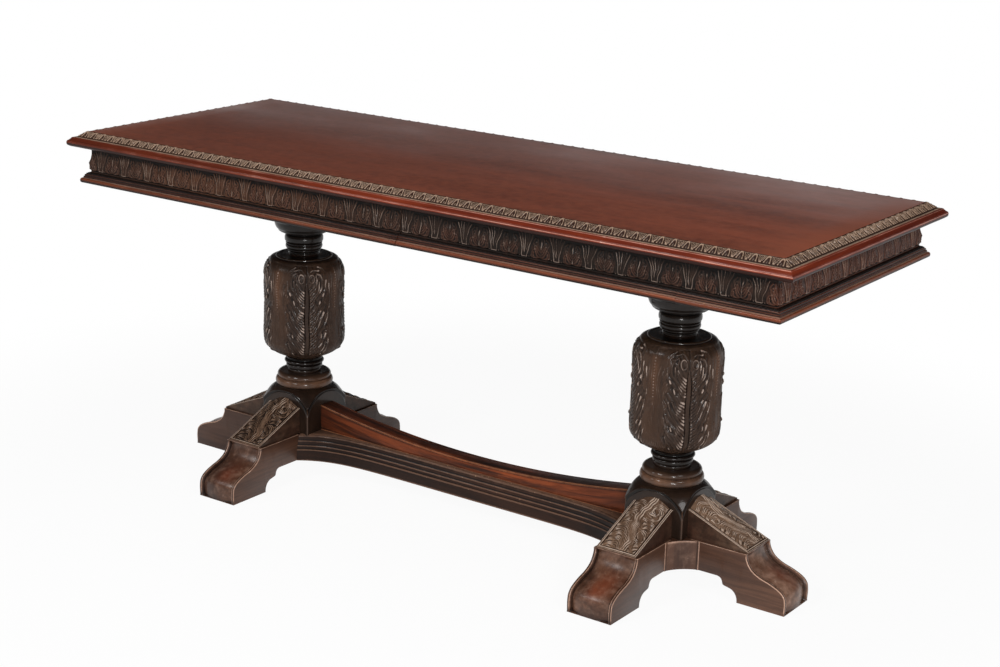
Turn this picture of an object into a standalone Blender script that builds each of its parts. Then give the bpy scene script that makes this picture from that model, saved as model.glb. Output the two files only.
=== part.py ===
"""Library table on two carved pedestals, with one frieze drawer hidden in its front.

Metres, +Z up. X runs along the table, the drawer opens towards -Y, and the origin is on the
floor under the middle of the top.
"""

import math

import bmesh
import bpy
from mathutils import Vector

# Clearances
SEAT_GAP = 0.0003          # between two pieces that touch
MITRE_PULL = SEAT_GAP / math.sqrt(2)
WELD_GAP = 0.00002         # points of a turning closer than this become one
DRAWER_SEAM = 0.0008       # open joint at each end of the drawer front
DRAWER_SIDE_PLAY = 0.0015  # between a drawer side and its guide
DRAWER_TOP_PLAY = 0.0045   # over the drawer sides
DRAWER_SETBACK = 0.0012    # the closed drawer sits this far behind the frieze

# Top
TABLE_HEIGHT = 0.762
FLAT_LENGTH = 1.672        # polished field inside the carved band
FLAT_DEPTH = 0.580
TOP_THICKNESS = 0.032
BAND_WIDTH = 0.023
BAND_THICKNESS = 0.020
BAND_DROP = 0.012
EDGE_WIDTH = 0.0115        # moulding outside the band
# Across the carved band: share of its width out, share of its drop down
BAND_SHARES = ((0.0, 0.0), (0.1, 0.03), (0.3, 0.28), (0.48, 0.80), (0.56, 0.88), (1.0, 1.0))
# Edge moulding: share of its width out, share of its height up, from its top corner round the nose
EDGE_SHARES = ((0.05, 1.0), (0.30, 0.97), (0.46, 0.89), (0.66, 0.77), (0.86, 0.63), (0.97, 0.48),
               (1.0, 0.36), (0.93, 0.20), (0.72, 0.08), (0.52, 0.0))

# Frieze and the moulding under it
FRIEZE_END_INSET = 0.0045   # field's end to the frieze's end, inwards
FRIEZE_SIDE_STEP = 0.0055   # field's side to the frieze's face, outwards
FRIEZE_HEIGHT = 0.0565
FRIEZE_THICKNESS = 0.020
FRIEZE_SWELL = 0.0015
BASE_HEIGHT = 0.022
BASE_PROJECTION = 0.0155
# Face of the frieze: share of the swell out, share of its height up
FRIEZE_SHARES = ((-1.0, 0.0), (-1.0, 0.05), (0.35, 0.085), (0.8, 0.22), (0.45, 0.40),
                 (-0.75, 0.58), (-1.2, 0.80), (-1.1, 1.0))
# Base moulding: share of its projection out, share of its height up, from the bottom
BASE_SHARES = ((0.80, 0.0), (0.95, 0.10), (1.0, 0.27), (0.93, 0.42), (0.76, 0.50), (0.66, 0.52),
               (0.66, 0.62), (0.54, 0.65), (0.52, 0.76), (0.38, 0.79), (0.38, 0.91), (0.26, 1.0))

# Drawer at the right of the front
DRAWER_WIDTH = 0.620       # opening between the two seams
DRAWER_END_ROOM = 0.1905   # end of the frieze to the nearer seam
DRAWER_BACK_ROOM = 0.086   # back of the box to the back frieze
DRAWER_SIDE_THICKNESS = 0.010
DRAWER_BOTTOM_THICKNESS = 0.006
DRAWER_BOTTOM_RISE = 0.003  # groove height under the bottom panel
DRAWER_STOP_DEPTH = 0.020
DRAWER_STOP_WIDTH = 0.120
DRAWER_STOP_HEIGHT = 0.022
GUIDE_THICKNESS = 0.018
RUNNER_WIDTH = 0.022
RUNNER_HEIGHT = 0.006

# Underframe between the frieze boards
RAIL_WIDTH = 0.045
RAIL_HEIGHT = 0.016
BEARER_WIDTH = 0.160

# Pedestals
PEDESTAL_INSET = 0.3525    # end of the frieze to each column's axis
COLUMN_STEPS = 24
CAP_RADIUS = 0.0680
NECK_HEIGHT = 0.1587       # capital and ringed neck
DRUM_RADIUS = 0.0905
COLLAR_RADIUS = 0.064
COLLAR_HEIGHT = 0.0660
# Capital and ringed neck from top to bottom: share of the radius, share of the height up
NECK_SHARES = ((0.970, 1.0), (1.0, 0.709), (1.0, 0.589), (0.982, 0.514), (0.944, 0.441),
               (0.890, 0.403), (0.835, 0.386), (0.831, 0.374), (0.794, 0.359), (0.700, 0.340),
               (0.596, 0.328), (0.551, 0.3195), (0.581, 0.306), (0.600, 0.290), (0.585, 0.274),
               (0.625, 0.265), (0.641, 0.246), (0.618, 0.227), (0.628, 0.208), (0.628, 0.189),
               (0.591, 0.170), (0.588, 0.151), (0.571, 0.123), (0.529, 0.107), (0.537, 0.082),
               (0.500, 0.047), (0.500, 0.035), (0.551, 0.018), (0.870, 0.014), (0.900, 0.025),
               (0.920, 0.018), (0.920, 0.0))
# Carved drum: share of the radius, share of the height up
DRUM_SHARES = ((0.70, 1.0), (0.77, 0.995), (0.85, 0.975), (0.925, 0.940), (0.973, 0.895),
               (0.992, 0.845), (0.995, 0.78), (0.985, 0.60), (0.990, 0.40), (1.0, 0.215),
               (0.985, 0.155), (0.925, 0.108), (0.820, 0.072), (0.65, 0.036), (0.50, 0.014),
               (0.44, 0.0))
# Ringed collar and torus under the drum: share of the radius, share of the height up
COLLAR_SHARES = ((0.60, 1.0), (0.64, 0.97), (0.62, 0.925), (0.60, 0.895), (0.665, 0.865),
                 (0.685, 0.82), (0.66, 0.765), (0.58, 0.735), (0.625, 0.70), (0.625, 0.615),
                 (0.545, 0.570), (0.565, 0.535), (0.560, 0.440), (0.72, 0.450), (0.83, 0.455),
                 (0.905, 0.410), (0.93, 0.335), (0.905, 0.275), (0.965, 0.250), (1.0, 0.150),
                 (0.975, 0.045), (0.90, 0.0))

# Centre block
BLOCK_WIDTH = 0.133
BLOCK_HEIGHT = 0.1530
# Dome over the block: share of the corner radius, share of the block height up
DOME_SHARES = ((0.60, 1.0), (0.64, 0.976), (0.72, 0.957), (0.82, 0.918), (0.90, 0.870),
               (0.96, 0.817), (1.0, 0.764), (1.06, 0.653))

# Feet
FOOT_REACH = 0.289         # column axis to the toe
FOOT_WIDTH = 0.099
FOOT_TOP = 0.104           # flat top of the feet
FOOT_CLEARANCE = 0.0445    # floor to the underside of the hub
FOOT_RELIEF = 0.0035       # depth of the quirk beside each edge bead
NOSE_REACH = 0.2005        # column axis to the line where the bracket starts
SOLE_REACH = 0.186
# Toe from the nose line to the floor: share of the way from nose to toe, share of the foot top up
TOE_SHARES = ((0.0, 1.0), (0.02, 0.91), (0.065, 0.82), (0.14, 0.735), (0.25, 0.668), (0.39, 0.615),
              (0.54, 0.577), (0.68, 0.535), (0.81, 0.485), (0.915, 0.423), (0.98, 0.346),
              (1.0, 0.26), (0.995, 0.0))
# Underside from the sole inwards: share of the sole reach, share of the clearance up
ARCH_SHARES = ((1.0, 0.0), (0.99, 0.25), (0.965, 0.43), (0.925, 0.55), (0.875, 0.60),
               (0.823, 0.67), (0.812, 0.83), (0.79, 0.95), (0.755, 1.0))
# Across the foot: share of half the width, share of the relief cut away
FOOT_FACE_SHARES = ((-1.0, 0.25), (-0.95, 0.0), (-0.87, 0.15), (-0.82, 1.0), (-0.45, 0.35),
                    (0.0, 0.0), (0.45, 0.35), (0.82, 1.0), (0.87, 0.15), (0.95, 0.0), (1.0, 0.25))

# Carved brackets on the feet
BRACKET_WIDTH = 0.088
BRACKET_HEAD = 0.162       # height of the low edge against the block
BRACKET_TOE = 0.0028       # thickness at the nose line
BRACKET_CROWN = 0.0165     # how far the panel swells at the head
BRACKET_BEAD = 0.0050
BRACKET_QUIRK = 0.0012
BRACKET_STEPS = 5
BRACKET_ARCS = 8

# Hollow corner pieces between the feet
INFILL_REACH = 0.0985      # column axis to where the hollow meets a foot
INFILL_SAG_SHARE = 0.10
INFILL_STEPS = 6

# Stretcher
BOARD_WAIST = 0.0670
BOARD_FLARE = 0.1670       # width of the board beside the feet
BOARD_FACE = 0.0265        # plain lower part of its edge
BOARD_INSET = 0.0110       # from that face to the flat top
FLARE_RUN = 0.4292         # length of the flare from each foot inwards
FLARE_POWER = 7
BOARD_SECTIONS = 16
# Moulded edge: share of the inset in, share of the height above the plain face
REED_SHARES = ((0.13, 0.02), (0.15, 0.20), (0.30, 0.30), (0.33, 0.335), (0.36, 0.52), (0.51, 0.62),
               (0.54, 0.655), (0.57, 0.84), (0.76, 0.945), (1.0, 1.0))
RAIL_THICKNESS = 0.042
RAIL_WAIST_RISE = 0.0215   # rail above the board at mid-length
RAIL_END_RISE = 0.0580
RAIL_BEAD = 0.004

# Derived lengths and levels
FRIEZE_LENGTH = FLAT_LENGTH - 2 * FRIEZE_END_INSET
FRIEZE_DEPTH = FLAT_DEPTH + 2 * FRIEZE_SIDE_STEP
PEDESTAL_CENTRE = FRIEZE_LENGTH / 2 - PEDESTAL_INSET
DRAWER_CENTRE = FRIEZE_LENGTH / 2 - DRAWER_END_ROOM - DRAWER_WIDTH / 2
DRAWER_DEPTH = FRIEZE_DEPTH - 2 * FRIEZE_THICKNESS - DRAWER_BACK_ROOM
TOP_UNDERSIDE = TABLE_HEIGHT - TOP_THICKNESS
BASE_TOP = TOP_UNDERSIDE - FRIEZE_HEIGHT
FRAME_BOTTOM = BASE_TOP - BASE_HEIGHT
BLOCK_TOP = FOOT_CLEARANCE + BLOCK_HEIGHT
COLLAR_BOTTOM = BLOCK_TOP + SEAT_GAP
DRUM_BOTTOM = COLLAR_BOTTOM + COLLAR_HEIGHT + SEAT_GAP
NECK_BOTTOM = FRAME_BOTTOM - SEAT_GAP - NECK_HEIGHT
DRUM_HEIGHT = NECK_BOTTOM - SEAT_GAP - DRUM_BOTTOM

WOODS = {
    "top_mahogany": ((0.19, 0.05, 0.028), 0.28),
    "carved_band": ((0.17, 0.12, 0.085), 0.45),
    "edge_mahogany": ((0.30, 0.065, 0.022), 0.25),
    "carved_frieze": ((0.045, 0.033, 0.026), 0.42),
    "base_mahogany": ((0.26, 0.085, 0.030), 0.32),
    "ebonised_turning": ((0.014, 0.012, 0.010), 0.22),
    "carved_drum": ((0.045, 0.030, 0.022), 0.35),
    "foot_mahogany": ((0.080, 0.034, 0.022), 0.28),
    "carved_bracket": ((0.085, 0.055, 0.038), 0.42),
    "stretcher_rail": ((0.24, 0.060, 0.018), 0.35),
    "stretcher_board": ((0.060, 0.036, 0.028), 0.35),
    "drawer_oak": ((0.42, 0.27, 0.14), 0.60),
    "frame_pine": ((0.36, 0.22, 0.11), 0.70),
}


def clear_scene():
    for old in list(bpy.data.objects):
        bpy.data.objects.remove(old, do_unlink=True)


def make_collection(name):
    collection = bpy.data.collections.new(name)
    bpy.context.scene.collection.children.link(collection)
    return collection


def make_materials():
    materials = {}
    for name, (colour, roughness) in WOODS.items():
        material = bpy.data.materials.new(name)
        material.use_nodes = True
        shader = material.node_tree.nodes["Principled BSDF"]
        shader.inputs["Base Color"].default_value = (*colour, 1.0)
        shader.inputs["Roughness"].default_value = roughness
        shader.inputs["Metallic"].default_value = 0.0
        materials[name] = material
    return materials


def add_object(name, data, wood=None, parent=None, location=(0, 0, 0), turn=0.0):
    """Link one named piece, placed by its location and its turn about Z."""
    piece = bpy.data.objects.new(name, data)
    PARTS.objects.link(piece)
    if wood:
        data.materials.append(MATERIALS[wood])
    piece.parent = parent
    piece.location = location
    piece.rotation_euler = (0.0, 0.0, turn)
    return piece


def box_mesh(name, low, high):
    """A box between two corners, as a mesh."""
    low, high = Vector(low), Vector(high)
    bm = bmesh.new()
    bmesh.ops.create_cube(bm, size=1)
    for vert in bm.verts:
        share = vert.co + Vector((0.5, 0.5, 0.5))
        vert.co = [a + (b - a) * s for a, b, s in zip(low, high, share)]
    mesh = bpy.data.meshes.new(name)
    bm.to_mesh(mesh)
    bm.free()
    return mesh


def add_box(name, low, high, wood, parent=None, location=(0, 0, 0), turn=0.0):
    return add_object(name, box_mesh(name, low, high), wood, parent, location, turn)


def loft_mesh(name, sections):
    """A closed body through matching closed sections, with a flat face on each end."""
    bm = bmesh.new()
    rings = [[bm.verts.new(point) for point in section] for section in sections]
    count = len(rings[0])
    for near, far in zip(rings, rings[1:]):
        for i in range(count):
            j = (i + 1) % count
            bm.faces.new((near[i], near[j], far[j], far[i]))
    bm.faces.new(list(reversed(rings[0])))
    bm.faces.new(rings[-1])
    bmesh.ops.recalc_face_normals(bm, faces=bm.faces)
    mesh = bpy.data.meshes.new(name)
    bm.to_mesh(mesh)
    bm.free()
    return mesh


def turned_mesh(name, profile):
    """Half outline of a turning in the XZ plane, from the axis at the top down to the axis."""
    points = [(0.0, 0.0, profile[0][1])]
    points += [(radius, 0.0, level) for radius, level in profile]
    points += [(0.0, 0.0, profile[-1][1])]
    edges = [(i, i + 1) for i in range(len(points) - 1)]
    mesh = bpy.data.meshes.new(name)
    mesh.from_pydata(points, edges, [])
    return mesh


def spin(piece, steps):
    screw = piece.modifiers.new("Turn", "SCREW")
    screw.axis = "Z"
    screw.steps = steps
    screw.render_steps = steps
    screw.use_merge_vertices = True
    screw.merge_threshold = WELD_GAP
    screw.use_smooth_shade = True
    return piece


def add_turning(name, shares, radius, height, level, wood, parent):
    profile = [(radius * out, height * up) for out, up in shares]
    piece = add_object(name, turned_mesh(name, profile), wood, parent, (0, 0, level))
    return spin(piece, COLUMN_STEPS)


def add_cutter(name, mesh, parent=None, location=(0, 0, 0)):
    cutter = bpy.data.objects.new(name, mesh)
    CUTTERS.objects.link(cutter)
    cutter.parent = parent
    cutter.location = location
    cutter.hide_render = True
    cutter.display_type = "WIRE"
    return cutter


def boolean(piece, cutter, operation):
    cut = piece.modifiers.new(cutter.name, "BOOLEAN")
    cut.operation = operation
    cut.solver = "EXACT"
    cut.object = cutter


def mitred_run(name, profile, length, depth, side, wood):
    """A moulding run along one side of a frame, mitred at both ends.

    The profile gives (out, height) from the frame line; length and depth are that line's.
    """
    along = {"front": length, "back": length, "left": depth, "right": depth}[side]
    across = {"front": depth, "back": depth, "left": length, "right": length}[side]
    turns = {"front": 0, "right": 1, "back": 2, "left": 3}
    sections = []
    for end in (-1, 1):
        sections.append([(end * (along / 2 + out - MITRE_PULL), -across / 2 - out, level)
                         for out, level in profile])
    return add_object(name, loft_mesh(name, sections), wood, turn=turns[side] * math.pi / 2)


def front_run(name, profile, start, stop, wood, parent=None, setback=0.0):
    """Part of the front run. An end given as None is the frame's mitred corner."""
    sections = []
    for end, place in ((-1, start), (1, stop)):
        ring = []
        for out, level in profile:
            corner = end * (FRIEZE_LENGTH / 2 + out - MITRE_PULL)
            ring.append((corner if place is None else place, setback - FRIEZE_DEPTH / 2 - out, level))
        sections.append(ring)
    return add_object(name, loft_mesh(name, sections), wood, parent)


def extruded(name, outline, low, high, wood, parent, location=(0, 0, 0), turn=0.0):
    """A flat outline in XY, carried from one level to another."""
    curve = bpy.data.curves.new(name, "CURVE")
    curve.dimensions = "2D"
    curve.fill_mode = "BOTH"
    curve.extrude = (high - low) / 2
    spline = curve.splines.new("POLY")
    spline.points.add(len(outline) - 1)
    for point, (x, y) in zip(spline.points, outline):
        point.co = (x, y, 0.0, 1.0)
    spline.use_cyclic_u = True
    x, y, z = location
    return add_object(name, curve, wood, parent, (x, y, z + (low + high) / 2), turn)


def band_profile():
    bottom = TABLE_HEIGHT - BAND_THICKNESS + SEAT_GAP
    surface = [(max(BAND_WIDTH * out, SEAT_GAP), TABLE_HEIGHT - BAND_DROP * down)
               for out, down in BAND_SHARES]
    return [(SEAT_GAP, bottom)] + surface + [(BAND_WIDTH, bottom)]


def edge_profile():
    """The moulded edge, with the rebate that the carved band is glued into."""
    rebate = TABLE_HEIGHT - BAND_THICKNESS
    inside = BAND_WIDTH + SEAT_GAP
    shoulder = TABLE_HEIGHT - BAND_DROP - SEAT_GAP
    nose = [(inside + EDGE_WIDTH * out, TOP_UNDERSIDE + (shoulder - TOP_UNDERSIDE) * up)
            for out, up in EDGE_SHARES]
    return ([(SEAT_GAP, TOP_UNDERSIDE), (SEAT_GAP, rebate), (inside, rebate), (inside, shoulder)]
            + nose)


def frieze_profile(inside=FRIEZE_THICKNESS):
    bottom = BASE_TOP + SEAT_GAP
    height = TOP_UNDERSIDE - SEAT_GAP - bottom
    face = [(FRIEZE_SWELL * out, bottom + height * up) for out, up in FRIEZE_SHARES]
    return [(-inside, bottom)] + face + [(-inside, bottom + height)]


def base_profile(inside=FRIEZE_THICKNESS):
    face = [(BASE_PROJECTION * out, FRAME_BOTTOM + BASE_HEIGHT * up) for out, up in BASE_SHARES]
    return [(-inside, FRAME_BOTTOM)] + face + [(-inside, BASE_TOP)]


def build_top():
    half_length, half_depth = FLAT_LENGTH / 2, FLAT_DEPTH / 2
    add_box("top_panel", (-half_length, -half_depth, TOP_UNDERSIDE),
            (half_length, half_depth, TABLE_HEIGHT), "top_mahogany")
    for side in ("front", "right", "back", "left"):
        mitred_run("carved_band_" + side, band_profile(), FLAT_LENGTH, FLAT_DEPTH, side,
                   "carved_band")
        mitred_run("edge_moulding_" + side, edge_profile(), FLAT_LENGTH, FLAT_DEPTH, side,
                   "edge_mahogany")


def build_frieze():
    """Frieze boards and base mouldings, open at the front for the drawer."""
    left = DRAWER_CENTRE - DRAWER_WIDTH / 2
    right = DRAWER_CENTRE + DRAWER_WIDTH / 2
    for side in ("right", "back", "left"):
        mitred_run("frieze_" + side, frieze_profile(), FRIEZE_LENGTH, FRIEZE_DEPTH, side,
                   "carved_frieze")
        mitred_run("base_moulding_" + side, base_profile(), FRIEZE_LENGTH, FRIEZE_DEPTH, side,
                   "base_mahogany")
    front_run("frieze_front_left", frieze_profile(), None, left, "carved_frieze")
    front_run("frieze_front_right", frieze_profile(), right, None, "carved_frieze")
    front_run("base_moulding_front_left", base_profile(), None, left, "base_mahogany")
    front_run("base_moulding_front_right", base_profile(), right, None, "base_mahogany")


def build_underframe():
    """Rails, bearers over the columns, and the drawer's guides and stop."""
    inner_x = FRIEZE_LENGTH / 2 - FRIEZE_THICKNESS - SEAT_GAP
    inner_y = FRIEZE_DEPTH / 2 - FRIEZE_THICKNESS - SEAT_GAP
    top = FRAME_BOTTOM + RAIL_HEIGHT
    for name, side in (("underframe_rail_front", -1), ("underframe_rail_back", 1)):
        ends = sorted((side * inner_y, side * (inner_y - RAIL_WIDTH)))
        add_box(name, (-inner_x, ends[0], FRAME_BOTTOM), (inner_x, ends[1], top), "frame_pine")
    reach = inner_y - RAIL_WIDTH - SEAT_GAP
    for name, side in (("bearer_left", -1), ("bearer_right", 1)):
        add_box(name, (-BEARER_WIDTH / 2, -reach, FRAME_BOTTOM), (BEARER_WIDTH / 2, reach, top),
                "frame_pine", location=(side * PEDESTAL_CENTRE, 0, 0))
    floor = top + SEAT_GAP
    ceiling = TOP_UNDERSIDE - SEAT_GAP
    for name, side in (("drawer_guide_left", -1), ("drawer_guide_right", 1)):
        edge = DRAWER_CENTRE + side * DRAWER_WIDTH / 2
        wall = edge + side * GUIDE_THICKNESS
        ledge = edge - side * RUNNER_WIDTH
        outline = [(wall, floor), (ledge, floor), (ledge, floor + RUNNER_HEIGHT),
                   (edge, floor + RUNNER_HEIGHT), (edge, ceiling), (wall, ceiling)]
        sections = [[(x, y, z) for x, z in outline] for y in (-inner_y, inner_y)]
        add_object(name, loft_mesh(name, sections), "frame_pine")
    stop = drawer_back() + DRAWER_SETBACK + SEAT_GAP
    add_box("drawer_stop", (-DRAWER_STOP_WIDTH / 2, stop, floor),
            (DRAWER_STOP_WIDTH / 2, stop + DRAWER_STOP_DEPTH, floor + DRAWER_STOP_HEIGHT),
            "frame_pine", location=(PEDESTAL_CENTRE, 0, 0))


def drawer_floor():
    return FRAME_BOTTOM + RAIL_HEIGHT + SEAT_GAP + RUNNER_HEIGHT + SEAT_GAP


def drawer_back():
    return -FRIEZE_DEPTH / 2 + FRIEZE_THICKNESS + SEAT_GAP + DRAWER_DEPTH


def build_drawer():
    """Drawer box behind a length of frieze and base moulding, on its slide axis."""
    slide = bpy.data.objects.new("drawer", None)
    PARTS.objects.link(slide)
    slide.location = (DRAWER_CENTRE, 0, 0)
    half = DRAWER_WIDTH / 2 - DRAWER_SEAM
    front_run("drawer_front", frieze_profile(), -half, half, "carved_frieze", slide,
              DRAWER_SETBACK)
    shallow = FRIEZE_THICKNESS - DRAWER_SETBACK - SEAT_GAP
    front_run("drawer_moulding", base_profile(shallow), -half, half, "base_mahogany", slide,
              DRAWER_SETBACK)
    outer = DRAWER_WIDTH / 2 - DRAWER_SIDE_PLAY
    inner = outer - DRAWER_SIDE_THICKNESS
    near = drawer_back() - DRAWER_DEPTH + DRAWER_SETBACK
    far = drawer_back() + DRAWER_SETBACK
    low = drawer_floor()
    high = TOP_UNDERSIDE - DRAWER_TOP_PLAY
    add_box("drawer_side_left", (-outer, near, low), (-inner, far, high), "drawer_oak", slide)
    add_box("drawer_side_right", (inner, near, low), (outer, far, high), "drawer_oak", slide)
    inside = inner - SEAT_GAP
    panel = low + DRAWER_BOTTOM_RISE
    panel_top = panel + DRAWER_BOTTOM_THICKNESS
    add_box("drawer_bottom", (-inside, near, panel), (inside, far, panel_top), "drawer_oak", slide)
    add_box("drawer_back", (-inside, far - DRAWER_SIDE_THICKNESS, panel_top + SEAT_GAP),
            (inside, far, high), "drawer_oak", slide)


def toe_points():
    reach = FOOT_REACH - NOSE_REACH
    return [(NOSE_REACH + reach * out, FOOT_TOP * up) for out, up in TOE_SHARES]


def foot_sections():
    """Side outlines of a foot across its width. The toe face has edge beads and a full middle."""
    toe = toe_points()
    arch = [(SOLE_REACH * out, FOOT_CLEARANCE * up) for out, up in ARCH_SHARES]
    inner = BLOCK_WIDTH / 2 + SEAT_GAP
    sections = []
    for across, cut in FOOT_FACE_SHARES:
        ring = [(inner, FOOT_TOP)]
        for i, (out, up) in enumerate(toe):
            before = Vector(toe[max(i - 1, 0)])
            after = Vector(toe[min(i + 1, len(toe) - 1)])
            run = (after - before).normalized()
            depth = FOOT_RELIEF * cut * min(i, 2) / 2
            # The outward normal is the run turned a quarter to the left of travel
            place = Vector((out, up)) - Vector((-run.y, run.x)) * depth
            if i == len(toe) - 1:
                place.y = 0.0
            ring.append((place.x, place.y))
        ring += arch
        ring.append((inner, FOOT_CLEARANCE))
        sections.append([(across * FOOT_WIDTH / 2, -out, up) for out, up in ring])
    return sections


def bracket_sections():
    """Cross-sections of a carved bracket from its toe to the block, crowned towards the block."""
    stop = BLOCK_WIDTH / 2 + SEAT_GAP
    bottom = FOOT_TOP + SEAT_GAP
    half = BRACKET_WIDTH / 2
    sections = []
    for i in range(BRACKET_STEPS + 1):
        share = i / BRACKET_STEPS
        reach = NOSE_REACH + (stop - NOSE_REACH) * share
        edge = bottom + BRACKET_TOE + (BRACKET_HEAD - bottom - BRACKET_TOE) * share
        crown = BRACKET_CROWN * share
        panel = half - BRACKET_BEAD
        surface = [(-half, edge), (-half + BRACKET_BEAD / 2, edge + BRACKET_QUIRK)]
        for k in range(BRACKET_ARCS + 1):
            turn = math.pi * k / BRACKET_ARCS
            surface.append((-panel * math.cos(turn), edge + crown * math.sin(turn)))
        surface += [(half - BRACKET_BEAD / 2, edge + BRACKET_QUIRK), (half, edge)]
        ring = [(-half, bottom)] + surface + [(half, bottom)]
        sections.append([(x, -reach, z) for x, z in ring])
    return sections


def infill_outline():
    """Hollow corner piece between two feet, notched for the corner of the block."""
    side = FOOT_WIDTH / 2 + SEAT_GAP
    face = BLOCK_WIDTH / 2 + SEAT_GAP
    outline = [(side, -face), (face, -face), (face, -side)]
    ends = (Vector((INFILL_REACH, -side)), Vector((side, -INFILL_REACH)))
    chord = ends[1] - ends[0]
    inward = Vector((-1.0, 1.0)).normalized() * chord.length * INFILL_SAG_SHARE
    for k in range(INFILL_STEPS + 1):
        share = k / INFILL_STEPS
        place = ends[0] + chord * share + inward * 4 * share * (1 - share)
        outline.append((place.x, place.y))
    return outline


def build_block(name, stem):
    """Square block under a dome whose flanks the four faces cut into arches."""
    half = BLOCK_WIDTH / 2
    block = add_box(name, (-half, -half, 0), (half, half, BLOCK_HEIGHT), "ebonised_turning", stem,
                    (0, 0, FOOT_CLEARANCE))
    corner = half * math.sqrt(2)
    profile = [(corner * out, BLOCK_HEIGHT * up) for out, up in DOME_SHARES]
    profile.append((profile[-1][0], -FOOT_CLEARANCE))
    dome = add_cutter(name + "_dome", turned_mesh(name + "_dome", profile), stem,
                      (0, 0, FOOT_CLEARANCE))
    spin(dome, COLUMN_STEPS * 2)
    boolean(block, dome, "INTERSECT")


def build_pedestal(hand, side):
    stem = bpy.data.objects.new("pedestal_" + hand, None)
    PARTS.objects.link(stem)
    stem.location = (side * PEDESTAL_CENTRE, 0, 0)
    add_turning("column_neck_" + hand, NECK_SHARES, CAP_RADIUS, NECK_HEIGHT, NECK_BOTTOM,
                "ebonised_turning", stem)
    add_turning("column_drum_" + hand, DRUM_SHARES, DRUM_RADIUS, DRUM_HEIGHT, DRUM_BOTTOM,
                "carved_drum", stem)
    add_turning("column_collar_" + hand, COLLAR_SHARES, COLLAR_RADIUS, COLLAR_HEIGHT,
                COLLAR_BOTTOM, "ebonised_turning", stem)
    build_block("centre_block_" + hand, stem)
    turns = {"front": 0.0, "back": math.pi, "outer": side * math.pi / 2}
    for place, turn in turns.items():
        name = "foot_%s_%s" % (hand, place)
        add_object(name, loft_mesh(name, foot_sections()), "foot_mahogany", stem, turn=turn)
        name = "bracket_%s_%s" % (hand, place)
        add_object(name, loft_mesh(name, bracket_sections()), "carved_bracket", stem, turn=turn)
    quarter = math.pi / 2
    corners = {"front": 0.0, "back": quarter}
    if side < 0:
        corners = {"front": -quarter, "back": 2 * quarter}
    for place, turn in corners.items():
        extruded("infill_%s_%s" % (hand, place), infill_outline(), FOOT_CLEARANCE, FOOT_TOP,
                 "foot_mahogany", stem, turn=turn)


def board_half_width(x, reach):
    """The board is waisted and flares where it meets the feet."""
    near = max(1 - (reach - abs(x)) / FLARE_RUN, 0.0)
    return (BOARD_WAIST + (BOARD_FLARE - BOARD_WAIST) * near ** FLARE_POWER) / 2


def build_stretcher():
    """Moulded board and the raised rail on it, between the two blocks."""
    foot_face = PEDESTAL_CENTRE - FOOT_WIDTH / 2 - SEAT_GAP
    block_face = PEDESTAL_CENTRE - BLOCK_WIDTH / 2 - SEAT_GAP
    face_top = FOOT_CLEARANCE + BOARD_FACE
    moulding = FOOT_TOP - face_top
    sections = []
    for k in range(BOARD_SECTIONS + 1):
        x = foot_face * math.sin(math.pi * (k / BOARD_SECTIONS - 0.5))
        half = board_half_width(x, foot_face)
        edge = [(half, FOOT_CLEARANCE), (half, face_top)]
        edge += [(half - BOARD_INSET * into, face_top + moulding * up) for into, up in REED_SHARES]
        ring = edge + [(-y, z) for y, z in reversed(edge)]
        sections.append([(x, y, z) for y, z in ring])
    board = add_object("stretcher_board", loft_mesh("stretcher_board", sections), "stretcher_board")
    reach = BLOCK_WIDTH / 2 + SEAT_GAP
    for hand, side in (("left", -1), ("right", 1)):
        notch = add_cutter("stretcher_notch_" + hand,
                           box_mesh("stretcher_notch_" + hand, (-reach, -reach, 0),
                                    (reach, reach, BLOCK_TOP)),
                           location=(side * PEDESTAL_CENTRE, 0, 0))
        boolean(board, notch, "DIFFERENCE")
    low = FOOT_TOP + SEAT_GAP
    half = RAIL_THICKNESS / 2
    sections = []
    for k in range(BOARD_SECTIONS + 1):
        share = 2 * k / BOARD_SECTIONS - 1
        high = low + RAIL_WAIST_RISE + (RAIL_END_RISE - RAIL_WAIST_RISE) * share ** 2
        flank = [(half, low), (half, high - RAIL_BEAD), (half - RAIL_BEAD / 4, high - RAIL_BEAD / 4),
                 (half - RAIL_BEAD, high)]
        ring = flank + [(-y, z) for y, z in reversed(flank)]
        sections.append([(block_face * share, y, z) for y, z in ring])
    add_object("stretcher_rail", loft_mesh("stretcher_rail", sections), "stretcher_rail")


clear_scene()
PARTS = make_collection("library_table")
CUTTERS = make_collection("cutters")
MATERIALS = make_materials()
build_top()
build_frieze()
build_underframe()
build_drawer()
build_pedestal("left", -1)
build_pedestal("right", 1)
build_stretcher()
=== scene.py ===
import math

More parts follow.
